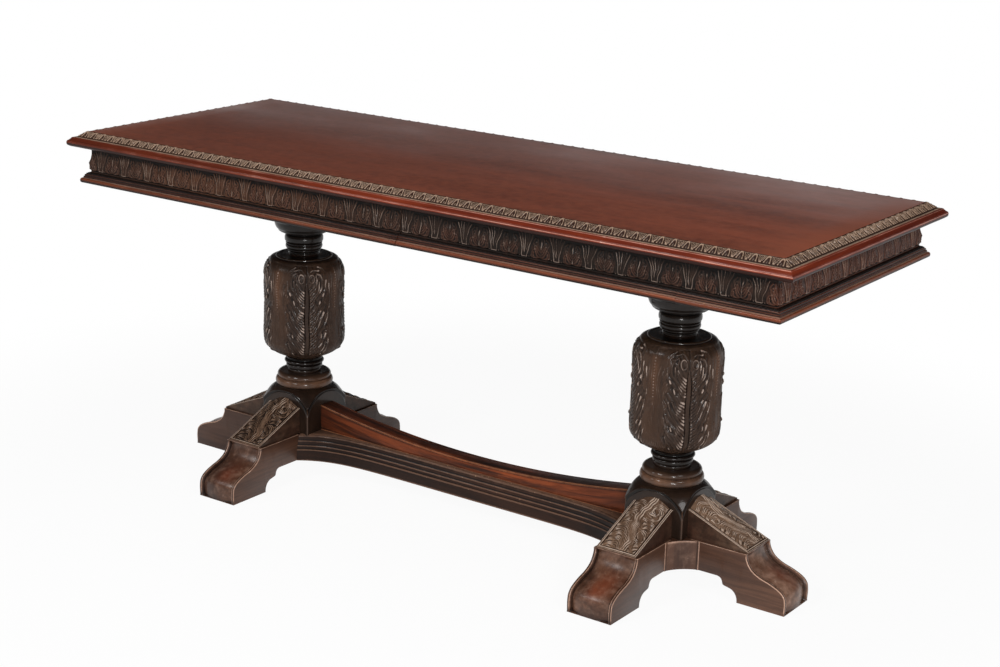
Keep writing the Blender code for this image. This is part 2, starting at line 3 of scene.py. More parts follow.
import bpy
import numpy as np
from mathutils import Matrix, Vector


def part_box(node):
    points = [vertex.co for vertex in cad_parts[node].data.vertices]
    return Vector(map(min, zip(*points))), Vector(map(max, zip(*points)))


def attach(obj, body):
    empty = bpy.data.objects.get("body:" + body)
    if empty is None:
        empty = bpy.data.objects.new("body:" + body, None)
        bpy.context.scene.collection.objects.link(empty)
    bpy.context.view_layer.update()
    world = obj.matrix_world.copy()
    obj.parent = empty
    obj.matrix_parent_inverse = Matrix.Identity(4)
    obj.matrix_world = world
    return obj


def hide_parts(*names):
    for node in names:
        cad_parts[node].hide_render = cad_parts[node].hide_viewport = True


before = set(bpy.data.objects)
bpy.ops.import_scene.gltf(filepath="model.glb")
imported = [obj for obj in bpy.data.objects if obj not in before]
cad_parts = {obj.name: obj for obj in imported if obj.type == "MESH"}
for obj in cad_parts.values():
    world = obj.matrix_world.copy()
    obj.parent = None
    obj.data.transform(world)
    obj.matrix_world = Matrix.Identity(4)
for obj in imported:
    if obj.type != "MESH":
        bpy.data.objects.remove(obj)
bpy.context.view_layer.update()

finishes = {}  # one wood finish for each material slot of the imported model
seatGap = 0.0003  # keeps neighbouring runs from sharing one surface
mitrePull = seatGap / math.sqrt(2)
quarterTurn = math.pi / 2
toMm = 1000  # the patterns of the carving are drawn in millimetres


# Curves and grids

def throughPoints(points, perSpan=8):
    # Smooth line through the points: each span blends its two ends and their slopes with cubic
    # weights, and a slope is the mean of the chords beside it. A point given twice is a corner.
    points = np.asarray(points, float)
    gaps = np.linalg.norm(np.diff(points, axis=0), axis=1)
    cuts = [0] + [k + 1 for k in np.flatnonzero(gaps < 1e-9)] + [len(points)]
    pieces = []
    for first, last in zip(cuts, cuts[1:]):
        run = points[first:last]
        if len(run) < 2:
            continue
        chord = np.linalg.norm(np.diff(run, axis=0), axis=1)[:, None]
        way = np.diff(run, axis=0) / chord
        middle = (way[:-1] * chord[1:] + way[1:] * chord[:-1]) / (chord[:-1] + chord[1:])
        slope = np.vstack([way[:1], middle, way[-1:]])
        t = np.linspace(0, 1, perSpan, endpoint=False)[None, :, None]
        near, far = run[:-1, None], run[1:, None]
        leave, arrive = (slope[:-1] * chord)[:, None], (slope[1:] * chord)[:, None]
        bent = ((2 * t ** 3 - 3 * t ** 2 + 1) * near + (t ** 3 - 2 * t ** 2 + t) * leave
                + (3 * t ** 2 - 2 * t ** 3) * far + (t ** 3 - t ** 2) * arrive)
        pieces += [bent.reshape(-1, points.shape[1]), run[-1:]]
    return np.vstack(pieces)


def lengthAlong(line):
    # Running sum of the distances between neighbours
    return np.concatenate([[0], np.cumsum(np.linalg.norm(np.diff(line, axis=0), axis=1))])


def profileLine(shares, width, height, spacing):
    # Table of (share out, share up, corner?) made a smooth line in metres, with its points at
    # equal lengths along it
    points = []
    for out, up, *corner in shares:
        points += [(width * out, height * up)] * (2 if corner else 1)
    line = throughPoints(points)
    line = line[np.append(True, np.diff(lengthAlong(line)) > 1e-8)]
    along = lengthAlong(line)
    where = np.linspace(0, along[-1], max(round(along[-1] / spacing), 1) + 1)
    return np.stack([np.interp(where, along, side) for side in line.T], axis=1)


def smoothStep(value, low, high):
    # 0 below low, 1 above high, and 3t^2 - 2t^3 between them
    t = np.clip((value - low) / (high - low), 0, 1)
    return t * t * (3 - 2 * t)


def ridge(distance, width):
    # Rounded ridge: e to the minus (distance / width) squared
    return np.exp(-(distance / width) ** 2)


def wrapped(value, period):
    # Signed distance to the nearest whole multiple of the period
    return value - period * np.round(value / period)


def softened(field, reach):
    # Mean of each grid point and its neighbours up to reach steps off, along rows, then round them
    padded = np.pad(field, ((reach, reach), (0, 0), (0, 0)), mode="edge")
    steps = 2 * reach + 1
    field = sum(padded[k:k + len(field)] for k in range(steps)) / steps
    return sum(np.roll(field, k - reach, axis=1) for k in range(steps)) / steps


def strokes(across, up, cuts, hollow):
    # Height of a set of gouge strokes, each given as (width, points of its line). A stroke is
    # thin where it starts and full at its round tip, its section is a half circle with its
    # middle hollowed, and where strokes meet the highest one shows.
    across, up = np.broadcast_arrays(across, up)
    height = np.zeros(across.shape)
    for width, *points in cuts:
        line = throughPoints(points, 5)
        low, high = line.min(axis=0) - width, line.max(axis=0) + width
        near = (across > low[0]) & (across < high[0]) & (up > low[1]) & (up < high[1])
        spot = np.stack([across[near], up[near]], axis=1)[:, None]
        step = np.diff(line, axis=0)
        share = np.clip(((spot - line[:-1]) * step).sum(axis=2) / (step ** 2).sum(axis=1), 0, 1)
        away = np.linalg.norm(spot - line[:-1] - share[..., None] * step, axis=2)
        nearest = away.argmin(axis=1)[:, None]
        away = np.take_along_axis(away, nearest, 1)[:, 0]
        way = (nearest + np.take_along_axis(share, nearest, 1))[:, 0] / len(step)
        q = away / (width * (0.35 + 0.65 * np.sqrt(way)))
        dip = hollow * np.clip(1 - (q / 0.6) ** 2, 0, 1)
        section = np.sqrt(np.clip(1 - q ** 2, 0, 1)) * (1 - dip)
        height[near] = np.maximum(height[near], section * (0.7 + 0.3 * way))
    return height


def turnedBy(grid, angle):
    # Grid turned about the upright axis
    c, s = math.cos(angle), math.sin(angle)
    return grid @ np.array([[c, s, 0], [-s, c, 0], [0, 0, 1]])


def addPiece(name, grid, slot, body, nodes, place=None, wear=(3, 0.0004), sharp=38, shade=0.0,
             rubbed=None):
    # Closed tube: each row is a closed ring, neighbours are joined by four-sided faces, and a flat
    # face closes each end. It is turned right side out by the sign of its volume. "relief" is how
    # far a point stands out of its softened surroundings: 0 in a hollow, 0.5 flat, 1 on a ridge.
    # wear gives the reach of that softening and the depth that counts as full. The shade is added
    # to it: painted shade in hollows, creases and under mouldings, painted highlights and glints
    # on arrises and crests, and painted light on some whole pieces. The rubbed mask is where the
    # polish is rubbed down to the redder wood, and in a few places a painted sheen.
    rows, cols = grid.shape[:2]
    points = grid.reshape(-1, 3)
    ring = np.arange(rows * cols).reshape(rows, cols)
    beside = np.roll(ring, -1, axis=1)
    quads = np.stack([ring[:-1], beside[:-1], beside[1:], ring[1:]], axis=-1).reshape(-1, 4)
    ends = [ring[0][::-1], ring[-1]]
    a, b, c, d = (points[quads[:, k]] for k in range(4))
    volume = (a * (np.cross(b, c) + np.cross(c, d))).sum()
    for end in ends:
        fan = points[end]
        volume += (fan[0] * np.cross(fan[:-1], fan[1:])).sum()
    side = 1 if volume > 0 else -1
    if side < 0:
        quads, ends = quads[:, ::-1], [end[::-1] for end in ends]
    normal = side * np.cross(np.gradient(grid, axis=0),
                             np.roll(grid, 1, axis=1) - np.roll(grid, -1, axis=1))
    normal /= np.maximum(np.linalg.norm(normal, axis=2, keepdims=True), 1e-12)
    proud = ((grid - softened(grid, wear[0])) * normal).sum(axis=2)
    # relief plus the shade, so it holds painted shade and highlights beside the real relief
    reliefAndPaintedLight = np.clip(0.5 + np.clip(0.5 * proud / wear[1], -0.5, 0.5) + shade, 0, 1).ravel()
    loops = np.concatenate([quads.ravel(), *ends]).astype(np.int32)
    starts = np.append(np.arange(len(quads)) * 4, [4 * len(quads), 4 * len(quads) + cols])
    mesh = bpy.data.meshes.new(name)
    mesh.vertices.add(len(points))
    mesh.vertices.foreach_set("co", points.astype(np.float32).ravel())
    mesh.loops.add(len(loops))
    mesh.loops.foreach_set("vertex_index", loops)
    mesh.polygons.add(len(starts))
    mesh.polygons.foreach_set("loop_start", starts.astype(np.int32))
    mesh.update(calc_edges=True)
    mesh.validate()
    mesh.shade_smooth()
    mesh.set_sharp_from_angle(angle=math.radians(sharp))
    values = reliefAndPaintedLight[loops]
    values[4 * len(quads):] = 0.5
    relief = mesh.attributes.new("relief", "FLOAT", "CORNER")
    relief.data.foreach_set("value", values.astype(np.float32))
    place = grid if place is None else place
    grain = mesh.attributes.new("woodPlace", "FLOAT_VECTOR", "POINT")
    grain.data.foreach_set("vector", place.reshape(-1, 3).astype(np.float32).ravel())
    if rubbed is not None:
        rub = mesh.attributes.new("rubbed", "FLOAT", "POINT")
        rub.data.foreach_set("value", (rubbed + np.zeros((rows, cols))).astype(np.float32).ravel())
    mesh.materials.append(finishes[slot])
    piece = bpy.data.objects.new(name, mesh)
    bpy.context.scene.collection.objects.link(piece)
    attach(piece, body)
    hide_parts(*nodes)


# Finishes

def paint(red, green, blue):
    # Screen colour 0-255 made the shader's own: ((c + 0.055) / 1.055) ^ 2.4, or c / 12.92 if dark
    screen = np.array([red, green, blue]) / 255
    light = np.where(screen > 0.04045, ((screen + 0.055) / 1.055) ** 2.4, screen / 12.92)
    return (*light.tolist(), 1.0)


def put(tree, kind, inputs=(), **settings):
    # New node with its settings; each input is a number or another node's output
    node = tree.nodes.new(kind)
    for key, value in settings.items():
        setattr(node, key, value)
    for key, value in dict(inputs).items():
        if isinstance(value, bpy.types.NodeSocket):
            tree.links.new(value, node.inputs[key])
        else:
            node.inputs[key].default_value = value
    return node


def blend(tree, share, first, second, way="MIX"):
    # first * (1 - share) + second * share, or their product for MULTIPLY
    return put(tree, "ShaderNodeMix", {0: share, 6: first, 7: second}, data_type="RGBA",
               blend_type=way).outputs[2]


def sums(tree, way, first, second=0.0, third=0.0):
    # The way named, such as ADD or MAXIMUM; MULTIPLY_ADD gives first * second + third
    return put(tree, "ShaderNodeMath", {0: first, 1: second, 2: third}, operation=way).outputs[0]


def spread(tree, value, low, high, start=0.0, stop=1.0):
    # value between low and high becomes start to stop along a smooth step
    return put(tree, "ShaderNodeMapRange", {0: value, 1: low, 2: high, 3: start, 4: stop},
               interpolation_type="SMOOTHSTEP").outputs[0]


def newGroup(name, inputs, outputs):
    # Empty node group that puts out masks alone, with the sockets it is given and fills
    group = bpy.data.node_groups.new(name, "ShaderNodeTree")
    for title, kind in inputs:
        group.interface.new_socket(title, in_out="INPUT", socket_type="NodeSocket" + kind)
    for title in outputs:
        group.interface.new_socket(title, in_out="OUTPUT", socket_type="NodeSocketFloat")
    return group, put(group, "NodeGroupInput").outputs, put(group, "NodeGroupOutput").inputs


def noiseOn(tree, place, stretch, size, detail=4.0, rough=0.55, bend=0.0):
    # Noise from 0 to 1 at place * stretch; a small stretch draws it out along that axis
    drawn = put(tree, "ShaderNodeVectorMath", {0: place, 1: stretch}, operation="MULTIPLY")
    return put(tree, "ShaderNodeTexNoise", {"Vector": drawn.outputs[0], "Scale": size,
               "Detail": detail, "Roughness": rough, "Distortion": bend}).outputs[0]


def woodGrainGroup():
    # Figure: slow noise drawn out along the board. Streaks: finer noise drawn out further.
    # Pores: the finest noise, cut to short dark dashes.
    group, given, out = newGroup("woodGrain", (("Place", "Vector"), ("Figure size", "Float"),
                                               ("Streak size", "Float")),
                                 ("Figure", "Streaks", "Pores"))
    figure = noiseOn(group, given[0], (0.14, 1.0, 1.0), given[1], 5.0, 0.6, 0.8)
    streaks = noiseOn(group, given[0], (0.045, 1.0, 1.0), given[2], 5.0, 0.7, 0.3)
    pores = noiseOn(group, given[0], (0.05, 1.0, 1.0), sums(group, "MULTIPLY", given[2], 6.0), 2.0)
    group.links.new(spread(group, figure, 0.34, 0.66), out[0])
    group.links.new(spread(group, streaks, 0.4, 0.64), out[1])
    group.links.new(spread(group, pores, 0.6, 0.7), out[2])
    return group


def carvedWearAndPaintedLightGroup():
    # Hollows: where dark polish gathers, together with the painted shade that the shade adds to
    # the
    # relief. Crests: where hands and dusters reach, together with the painted highlights, broken
    # up
    # by noise. Chips: small bare spots on the crests alone, on the drum painted glints.
    group, given, out = newGroup("carvedWearAndPaintedLight", (("Place", "Vector"), ("ReliefAndShade", "Float"),
                                                ("Break-up size", "Float")),
                                 ("HollowsAndShade", "CrestsAndHighlights", "ChipsAndGlints"))
    uneven = noiseOn(group, given[0], (1.0, 1.0, 1.0), given[2], 4.0, 0.6)
    shift = sums(group, "MULTIPLY_ADD", uneven, 0.36, -0.18)
    level = sums(group, "ADD", given[1], shift)
    fine = noiseOn(group, given[0], (1.0, 1.0, 1.0), sums(group, "MULTIPLY", given[2], 3.1), 2.0)
    ridges = spread(group, level, 0.54, 0.88)
    group.links.new(spread(group, level, 0.47, 0.12), out[0])
    group.links.new(ridges, out[1])
    chips = sums(group, "MULTIPLY", spread(group, fine, 0.66, 0.72), ridges)
    group.links.new(chips, out[2])
    return group


def polishMarksGroup():
    # Smudges: broad soft noise for the gloss. Marks: small dents and rubs for the bump.
    group, given, out = newGroup("polishMarks", (("Place", "Vector"), ("Size", "Float")),
                                 ("Smudges", "Marks"))
    smudges = noiseOn(group, given[0], (0.5, 1.0, 1.0), given[1], 4.0, 0.6)
    marks = noiseOn(group, given[0], (0.4, 1.0, 1.0), sums(group, "MULTIPLY", given[1], 9.0), 3.0)
    group.links.new(spread(group, smudges, 0.3, 0.7), out[0])
    group.links.new(marks, out[1])
    return group


def makeFinish(slot, look, marks):
    # Colour: deep to light by the figure, darkened by streaks and pores, then the hollows and the
    # painted shade take the recess colour, the crests and painted highlights the worn one, and
    # bare chips and painted glints the chip colour. Gloss and bump follow the same masks.
    finish = bpy.data.materials.new(slot + "Finish")
    finish.use_nodes = True
    tree = finish.node_tree
    shader = tree.nodes["Principled BSDF"]

    def read(name, out="Fac"):
        return put(tree, "ShaderNodeAttribute", attribute_name=name).outputs[out]

    def marked(kind, *inputs):
        # One of the shared groups at this finish's sizes
        return put(tree, "ShaderNodeGroup", enumerate(inputs), node_tree=marks[kind]).outputs

    def stained(colour, mask, share, tint):
        # The colour turned towards the tint by mask * share
        return blend(tree, sums(tree, "MULTIPLY", mask, share), colour, paint(*tint))

    onObject = put(tree, "ShaderNodeTexCoord").outputs["Object"]
    place = onObject if look["cadPiece"] else read("woodPlace", "Vector")
    relief = 0.5 if look["cadPiece"] else read("relief")
    grain = marked("grain", place, look["figureSize"], look["streakSize"])
    wear = marked("wear", place, relief, look["wearSize"])
    rubs = marked("rubs", place, look["smudgeSize"])
    colour = blend(tree, grain["Figure"], paint(*look["deep"]), paint(*look["light"]))
    colour = stained(colour, grain["Streaks"], look["streakShare"], look["streak"])
    colour = stained(colour, grain["Pores"], look["poreShare"], look["streak"])
    along = put(tree, "ShaderNodeSeparateXYZ", {0: onObject}).outputs["X"]
    for start, stop, tint, share in look["drift"]:  # slow change along the table
        colour = stained(colour, spread(tree, along, start, stop), share, tint)
    colour = stained(colour, rubs["Smudges"], look["cloudShare"], look["streak"])
    # the rubbed mask: polish rubbed down to the redder wood, and a painted sheen on the neck's
    # dish, the block's vertical arrises and the bulge of the base ovolo
    if "rubbed" in look:
        patchy = sums(tree, "MULTIPLY_ADD", rubs["Smudges"], 0.7, 0.3)
        colour = stained(colour, read("rubbed"), patchy, look["rubbed"])
    # recess colour: dark polish in the hollows and painted shade; worn colour: wear and painted
    # highlights; chip colour: bare nicks and painted glints
    colour = stained(colour, wear["HollowsAndShade"], look["recessAndShadeShare"], look["recessAndShade"])
    colour = stained(colour, wear["CrestsAndHighlights"], look["wornAndHighlightShare"], look["wornAndHighlight"])
    colour = stained(colour, wear["ChipsAndGlints"], look["chipAndGlintShare"], look["chipAndGlint"])
    tree.links.new(colour, shader.inputs["Base Color"])
    gloss = sums(tree, "MULTIPLY_ADD", rubs["Smudges"], look["glossSpread"],
                 look["roughness"] - look["glossSpread"] / 2)
    gloss = sums(tree, "MULTIPLY_ADD", wear["HollowsAndShade"], look["recessRough"], gloss)
    tree.links.new(gloss, shader.inputs["Roughness"])
    shader.inputs["Specular IOR Level"].default_value = look["shine"]
    shader.inputs["Coat Weight"].default_value = look["coat"]
    shader.inputs["Coat Roughness"].default_value = look["coatRough"]
    height = sums(tree, "MULTIPLY_ADD", grain["Streaks"], -look["grainDepth"],
                  sums(tree, "MULTIPLY", rubs["Marks"], look["markDepth"]))
    height = sums(tree, "MULTIPLY_ADD", grain["Pores"], -look["grainDepth"], height)
    bump = put(tree, "ShaderNodeBump", {"Strength": 1.0, "Distance": 1.0, "Height": height})
    tree.links.new(bump.outputs[0], shader.inputs["Normal"])
    return finish


commonLook = {
    "figureSize": 9.0, "streakSize": 90.0, "wearSize": 60.0, "smudgeSize": 14.0,
    "streakShare": 0.5, "poreShare": 0.3, "recessAndShadeShare": 0.8, "wornAndHighlightShare": 0.6, "chipAndGlintShare": 0.0,
    "chipAndGlint": (200, 150, 120), "cloudShare": 0.0, "roughness": 0.42, "glossSpread": 0.12,
    "recessRough": 0.15, "shine": 0.1, "coat": 0.0, "coatRough": 0.15, "grainDepth": 0.00004,
    "markDepth": 0.00012, "drift": (), "cadPiece": False}

looks = {
    "top_mahogany": {
        "deep": (84, 37, 26), "light": (130, 64, 44), "streak": (62, 28, 21),
        "recessAndShade": (40, 18, 14), "wornAndHighlight": (150, 84, 60), "figureSize": 7.0, "streakSize": 34.0,
        "streakShare": 0.45, "poreShare": 0.12, "roughness": 0.34, "smudgeSize": 4.5,
        "cloudShare": 0.38, "glossSpread": 0.1, "shine": 0.25, "markDepth": 0.00003,
        # the drift: darker towards the left end, partly its own tone and partly a painted dimmer
        # reflection
        "drift": ((0.3, -0.9, (66, 38, 32), 0.6),)},
    "carved_band": {
        # worn: the pale crests of the arches and leaves, partly painted highlight; recess: the
        # hollows and the painted shade of the dark strip at the field
        "deep": (66, 48, 37), "light": (88, 68, 54), "streak": (46, 32, 25),
        "recessAndShade": (44, 25, 17), "wornAndHighlight": (158, 132, 112), "recessAndShadeShare": 1.0, "wornAndHighlightShare": 0.9,
        "coat": 0.3, "coatRough": 0.2},
    "edge_mahogany": {
        # worn: the painted highlight lines on the top arris and the bead; recess: the painted
        # shade under the nose
        "deep": (94, 31, 16), "light": (122, 49, 27), "streak": (60, 21, 13),
        "recessAndShade": (34, 15, 9), "wornAndHighlight": (214, 156, 136), "wornAndHighlightShare": 0.8, "recessAndShadeShare": 0.95,
        "chipAndGlint": (240, 205, 188), "chipAndGlintShare": 0.6, "roughness": 0.36, "coat": 0.15,
        "wearSize": 15.0, "drift": ((0.2, -0.8, (54, 24, 15), 0.6),)},
    "carved_frieze": {
        # recess: painted shade in the ground and under the edge moulding; worn: painted highlights
        # on the fan lines and crests. The drifts: warmer left of the middle, darker at the far
        # left end, and browner at the right end, there partly painted light
        "deep": (28, 20, 15), "light": (45, 32, 24), "streak": (19, 13, 10), "recessAndShade": (7, 5, 4),
        "wornAndHighlight": (132, 114, 102), "recessAndShadeShare": 1.0, "wornAndHighlightShare": 0.75, "coat": 0.06,
        "coatRough": 0.12, "rubbed": (72, 43, 31),
        "drift": ((0.2, -0.55, (98, 62, 42), 0.5), (-0.5, -0.8, (34, 24, 19), 0.7),
            (0.8, 0.835, (96, 52, 36), 0.55))},
    "base_mahogany": {
        # worn: painted highlight lines on the fillets' arrises; recess: painted shade between them
        # and under the ovolo; rubbed: the ovolo's redder bulge, partly painted sheen
        "deep": (62, 31, 20), "light": (90, 46, 30), "streak": (42, 22, 16),
        "recessAndShade": (20, 13, 10), "wornAndHighlight": (140, 110, 94), "wornAndHighlightShare": 0.85, "recessAndShadeShare": 1.0,
        "chipAndGlintShare": 0.3, "rubbed": (150, 78, 46), "roughness": 0.36, "coat": 0.12,
        "coatRough": 0.2, "wearSize": 15.0, "drift": ((0.3, -0.2, (56, 28, 18), 0.5),)},
    "ebonised_turning": {
        # rubbed: bare wood on the collar's torus and the block, with a painted sheen on the neck's
        # dish and a painted highlight on the block's vertical arrises
        "deep": (13, 9, 7), "light": (21, 15, 11), "streak": (8, 6, 5), "recessAndShade": (5, 4, 3),
        "wornAndHighlight": (60, 44, 36), "wornAndHighlightShare": 0.1, "rubbed": (106, 76, 58), "coat": 0.34,
        "coatRough": 0.1},
    "carved_drum": {
        # worn and chip: painted glints on the leaf's crests, together with real wear
        "deep": (42, 30, 23), "light": (64, 48, 38), "streak": (27, 19, 14), "recessAndShade": (11, 7, 6),
        "wornAndHighlight": (176, 156, 144), "recessAndShadeShare": 0.9, "wornAndHighlightShare": 0.75, "rubbed": (100, 68, 48),
        "coat": 0.12, "coatRough": 0.14, "wearSize": 50.0, "chipAndGlint": (222, 212, 204),
        "chipAndGlintShare": 0.8},
    "foot_mahogany": {
        # worn and chip: pale painted highlight lines on the arrises and beads, with real wear
        "deep": (64, 41, 30), "light": (96, 66, 50), "streak": (46, 28, 20), "recessAndShade": (20, 12, 9),
        "wornAndHighlight": (196, 158, 136), "wornAndHighlightShare": 0.7, "chipAndGlint": (226, 200, 182), "chipAndGlintShare": 0.6,
        "rubbed": (132, 58, 32), "coat": 0.45, "coatRough": 0.32},
    "carved_bracket": {
        # worn: the pale border arrises and leaf crests, painted highlights with real wear
        "deep": (88, 66, 52), "light": (124, 98, 79), "streak": (60, 43, 33),
        "recessAndShade": (28, 19, 14), "wornAndHighlight": (186, 166, 150), "recessAndShadeShare": 1.0, "wornAndHighlightShare": 0.8,
        "rubbed": (64, 38, 27), "coat": 0.2, "coatRough": 0.14},
    "stretcher_rail": {
        "deep": (56, 27, 17), "light": (154, 76, 41), "streak": (32, 17, 12),
        "recessAndShade": (36, 24, 18), "wornAndHighlight": (168, 112, 76), "figureSize": 12.0, "streakSize": 60.0,
        "streakShare": 0.95, "recessAndShadeShare": 0.95, "smudgeSize": 9.0, "cloudShare": 0.5,
        "roughness": 0.38, "shine": 0.15, "drift": ((-0.15, -0.45, (46, 24, 17), 0.75),)},
    "stretcher_board": {
        # worn and chip: light lines along the reeds, painted highlights with real wear
        "deep": (32, 18, 12), "light": (54, 33, 23), "streak": (20, 13, 10), "recessAndShade": (10, 7, 6),
        "wornAndHighlight": (120, 90, 73), "wornAndHighlightShare": 0.6, "chipAndGlint": (186, 150, 114), "chipAndGlintShare": 0.5,
        "coat": 0.1, "coatRough": 0.16},
    "drawer_oak": {
        "deep": (150, 112, 70), "light": (184, 146, 98), "streak": (104, 74, 44),
        "recessAndShade": (80, 56, 34), "wornAndHighlight": (196, 164, 120), "roughness": 0.6, "poreShare": 0.6},
    "frame_pine": {
        "deep": (132, 96, 60), "light": (164, 126, 84), "streak": (96, 62, 36),
        "recessAndShade": (70, 46, 30), "wornAndHighlight": (180, 146, 104), "roughness": 0.7, "cadPiece": True}}

sharedMarks = {"grain": woodGrainGroup(), "wear": carvedWearAndPaintedLightGroup(), "rubs": polishMarksGroup()}
for slotName, ownLook in looks.items():
    finishes[slotName] = makeFinish(slotName, {**commonLook, **ownLook}, sharedMarks)
print("finishes mixed:", len(finishes))


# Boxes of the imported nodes, which every piece is set on

fieldLow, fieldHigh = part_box("top_panel")
fieldHalf, fieldSide = fieldHigh.x, fieldHigh.y
tableTop, topUnder = fieldHigh.z, fieldLow.z
friezeHalf, friezeSide = fieldHalf - 0.0045, fieldSide + 0.0055
frameBottom, baseTop = (corner.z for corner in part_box("base_moulding_back"))
drawerLow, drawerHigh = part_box("drawer_front")
drawerSetback, drawerSeam = 0.0012, 0.0008
sideTurns = {"front": 0, "right": 1, "back": 2, "left": 3}  # quarter turns from the front


# Flat boards

def softBoard(low, high, radius, stations):
    # Board with rounded arrises: its section is a rectangle with quarter-round corners, and near
    # each end the section draws in along the same quarter round
    low, high = np.array(low), np.array(high)
    length = high[0] - low[0]
    quarter = np.linspace(0, quarterTurn, 5)
    eased = radius * (1 - np.cos(quarter))
    along = np.concatenate([eased, np.linspace(radius, length - radius, stations)[1:-1],
                            length - eased[::-1]])[:, None]
    fromEnd = np.clip(1 - np.minimum(along, length - along) / radius, 0, 1)
    inset = radius * (1 - np.sqrt(1 - fromEnd ** 2))
    turn = np.concatenate([quarter + k * quarterTurn for k in range(4)])
    signs = np.repeat([(1, 1), (-1, 1), (-1, -1), (1, -1)], len(quarter), axis=0).T
    sides = [(low[k] + high[k]) / 2 + ((high[k] - low[k]) / 2 - radius - inset) * sign
             + radius * around
             for k, sign, around in zip((1, 2), signs, (np.cos(turn), np.sin(turn)))]
    return np.stack([low[0] + along + 0 * turn, *sides], axis=2)


fieldLook = {"arris": 0.0008, "stations": 30}
field = softBoard(fieldLow, fieldHigh, fieldLook["arris"], fieldLook["stations"])
addPiece("polishedField", field, "top_mahogany", "table", ["top_panel"])
print("field laid")


# Mouldings that run round the frame

def sectionNormals(section):
    # The chord between each point's neighbours, turned a quarter away from the inside
    chord = np.roll(section, -1, axis=0) - np.roll(section, 1, axis=0)
    turn = np.stack([chord[:, 1], -chord[:, 0]], axis=1)
    turn /= np.maximum(np.linalg.norm(turn, axis=1, keepdims=True), 1e-12)
    after = np.roll(section, -1, axis=0)
    area = (section[:, 0] * after[:, 1] - after[:, 0] * section[:, 1]).sum()
    return turn if area > 0 else -turn


def halfAndLine(side, length, depth):
    # Half of a side's own length, and how far the side stands from the middle
    return (length, depth) if side in ("front", "back") else (depth, length)


def carried(section, half, line, ends, stations, carving=None, setback=0.0):
    # A section of (out, level) points carried along x. A mitred end, given as None, stands at
    # half + out, and any other end is square. The carving lifts each point along its normal.
    share = np.linspace(0, 1, stations)[:, None]
    out = np.broadcast_to(section[:, 0], (stations, len(section)))
    level = np.broadcast_to(section[:, 1], out.shape)

    def along(out):
        first, last = (sign * (half + out - mitrePull) if end is None else end + 0 * out
                       for sign, end in zip((-1, 1), ends))
        return first + (last - first) * share

    if carving is not None:
        lift, normal = carving(along(out)), sectionNormals(section)
        out, level = out + lift * normal[:, 0], level + lift * normal[:, 1]
    return np.stack([along(out), setback - line - out, level], axis=2)


def addRun(name, grid, side, slot, body, node, **more):
    # The run is made at the front and turned to its side; its grain follows it round
    place = grid + (0.37 * len(name), 0.21 * sideTurns[side], 0.13 * len(node))
    addPiece(name, turnedBy(grid, sideTurns[side] * quarterTurn), slot, body, [node],
             place=place, **more)


bandLook = {
    "width": 0.023, "drop": 0.012, "thickness": 0.02, "repeat": 0.02613, "perRepeat": 24,
    "spacing": 0.0012, "ground": 0.001, "lift": 0.0026, "slopeEnd": 0.74, "archHalf": 5.3,
    "archHeight": 17.2,
    "shares": ((0.013, 1.0), (0.05, 1.0, 1), (0.28, 0.74), (0.52, 0.4), (0.74, 0.12, 1),
        (0.77, 0.06, 1), (0.97, 0.015), (1.0, 0.0))}


def tongueAndLeaf(x, rise, repeat):
    # x along and rise across the slope, in mm. An arch is the oval where (x / half)^2 +
    # (rise / height)^2 = 1, on two thick feet, with a thin stroke inside it. Between two arches a
    # leaf of five strokes opens from one root. The highest of these ridges shows.
    fromArch, fromLeaf = np.abs(wrapped(x, repeat)), np.abs(wrapped(x - repeat / 2, repeat))
    oval = np.hypot(fromArch / bandLook["archHalf"],
                    np.clip(rise, 0, None) / bandLook["archHeight"])
    arch = ridge((oval - 1) * 6.5, 1.25)
    feet = ridge(fromArch - 5.4, 1.7) * smoothStep(6 - rise, 0, 3)
    stroke = ridge(fromArch, 0.9) * smoothStep(9 - rise, 0, 3)
    root = smoothStep(3.2 - fromLeaf, 0, 1.2) * smoothStep(5 - rise, 0, 2)
    middle = ridge(fromLeaf, 0.95) * smoothStep(16.5 - rise, 0, 3)
    beside = np.maximum(ridge(fromLeaf - 0.8 - 0.17 * rise, 0.85),
                        ridge(fromLeaf - 1.4 - 0.34 * rise, 0.9))
    beside = beside * smoothStep(rise, 2, 5) * smoothStep(17.5 - rise, 0, 2)
    return np.maximum.reduce([arch, feet, 0.45 * stroke, 0.85 * root, 0.85 * middle, 0.9 * beside])


def carvedBands():
    # A fillet at the field, the carved slope, then a step and a flat at the edge moulding
    look = bandLook
    surface = profileLine(look["shares"], look["width"], look["drop"], look["spacing"])
    surface[:, 1] += tableTop - look["drop"]
    bottom = tableTop - look["thickness"] + seatGap
    section = np.vstack([[(seatGap, bottom)], surface, [(look["width"], bottom)]])
    along = lengthAlong(surface) * toMm
    slope = along[np.argmin(np.abs(surface[:, 0] - look["slopeEnd"] * look["width"]))]
    rise = np.concatenate([[0], slope - along, [0]])
    onSlope = np.concatenate([[0], smoothStep(along, 0.4, 1.6) * (along < slope - 0.4), [0]])
    # Painted shade: a dark strip along the field side. The line at the foot of the slope and the
    # fillet below it are darker.
    shade = -0.85 * smoothStep(rise, 17.8, 18.8) - 0.45 * ridge(rise + 0.6, 0.8) \
        - 0.2 * smoothStep(-rise, 0.6, 1.6)
    for side in sideTurns:
        half, line = halfAndLine(side, fieldHalf, fieldSide)
        count = round(2 * half / look["repeat"])
        repeat = 2 * toMm * half / count

        def carving(x):
            height = tongueAndLeaf(x * toMm, rise, repeat)
            return onSlope * (height * look["lift"] - look["ground"])

        grid = carried(section, half, line, (None, None), count * look["perRepeat"] + 1, carving)
        grid[..., 2] = np.minimum(grid[..., 2], tableTop)
        addRun("carvedBand" + side.title(), grid, side, "carved_band", "table",
               "carved_band_" + side, wear=(3, 0.0006), sharp=60, shade=shade)


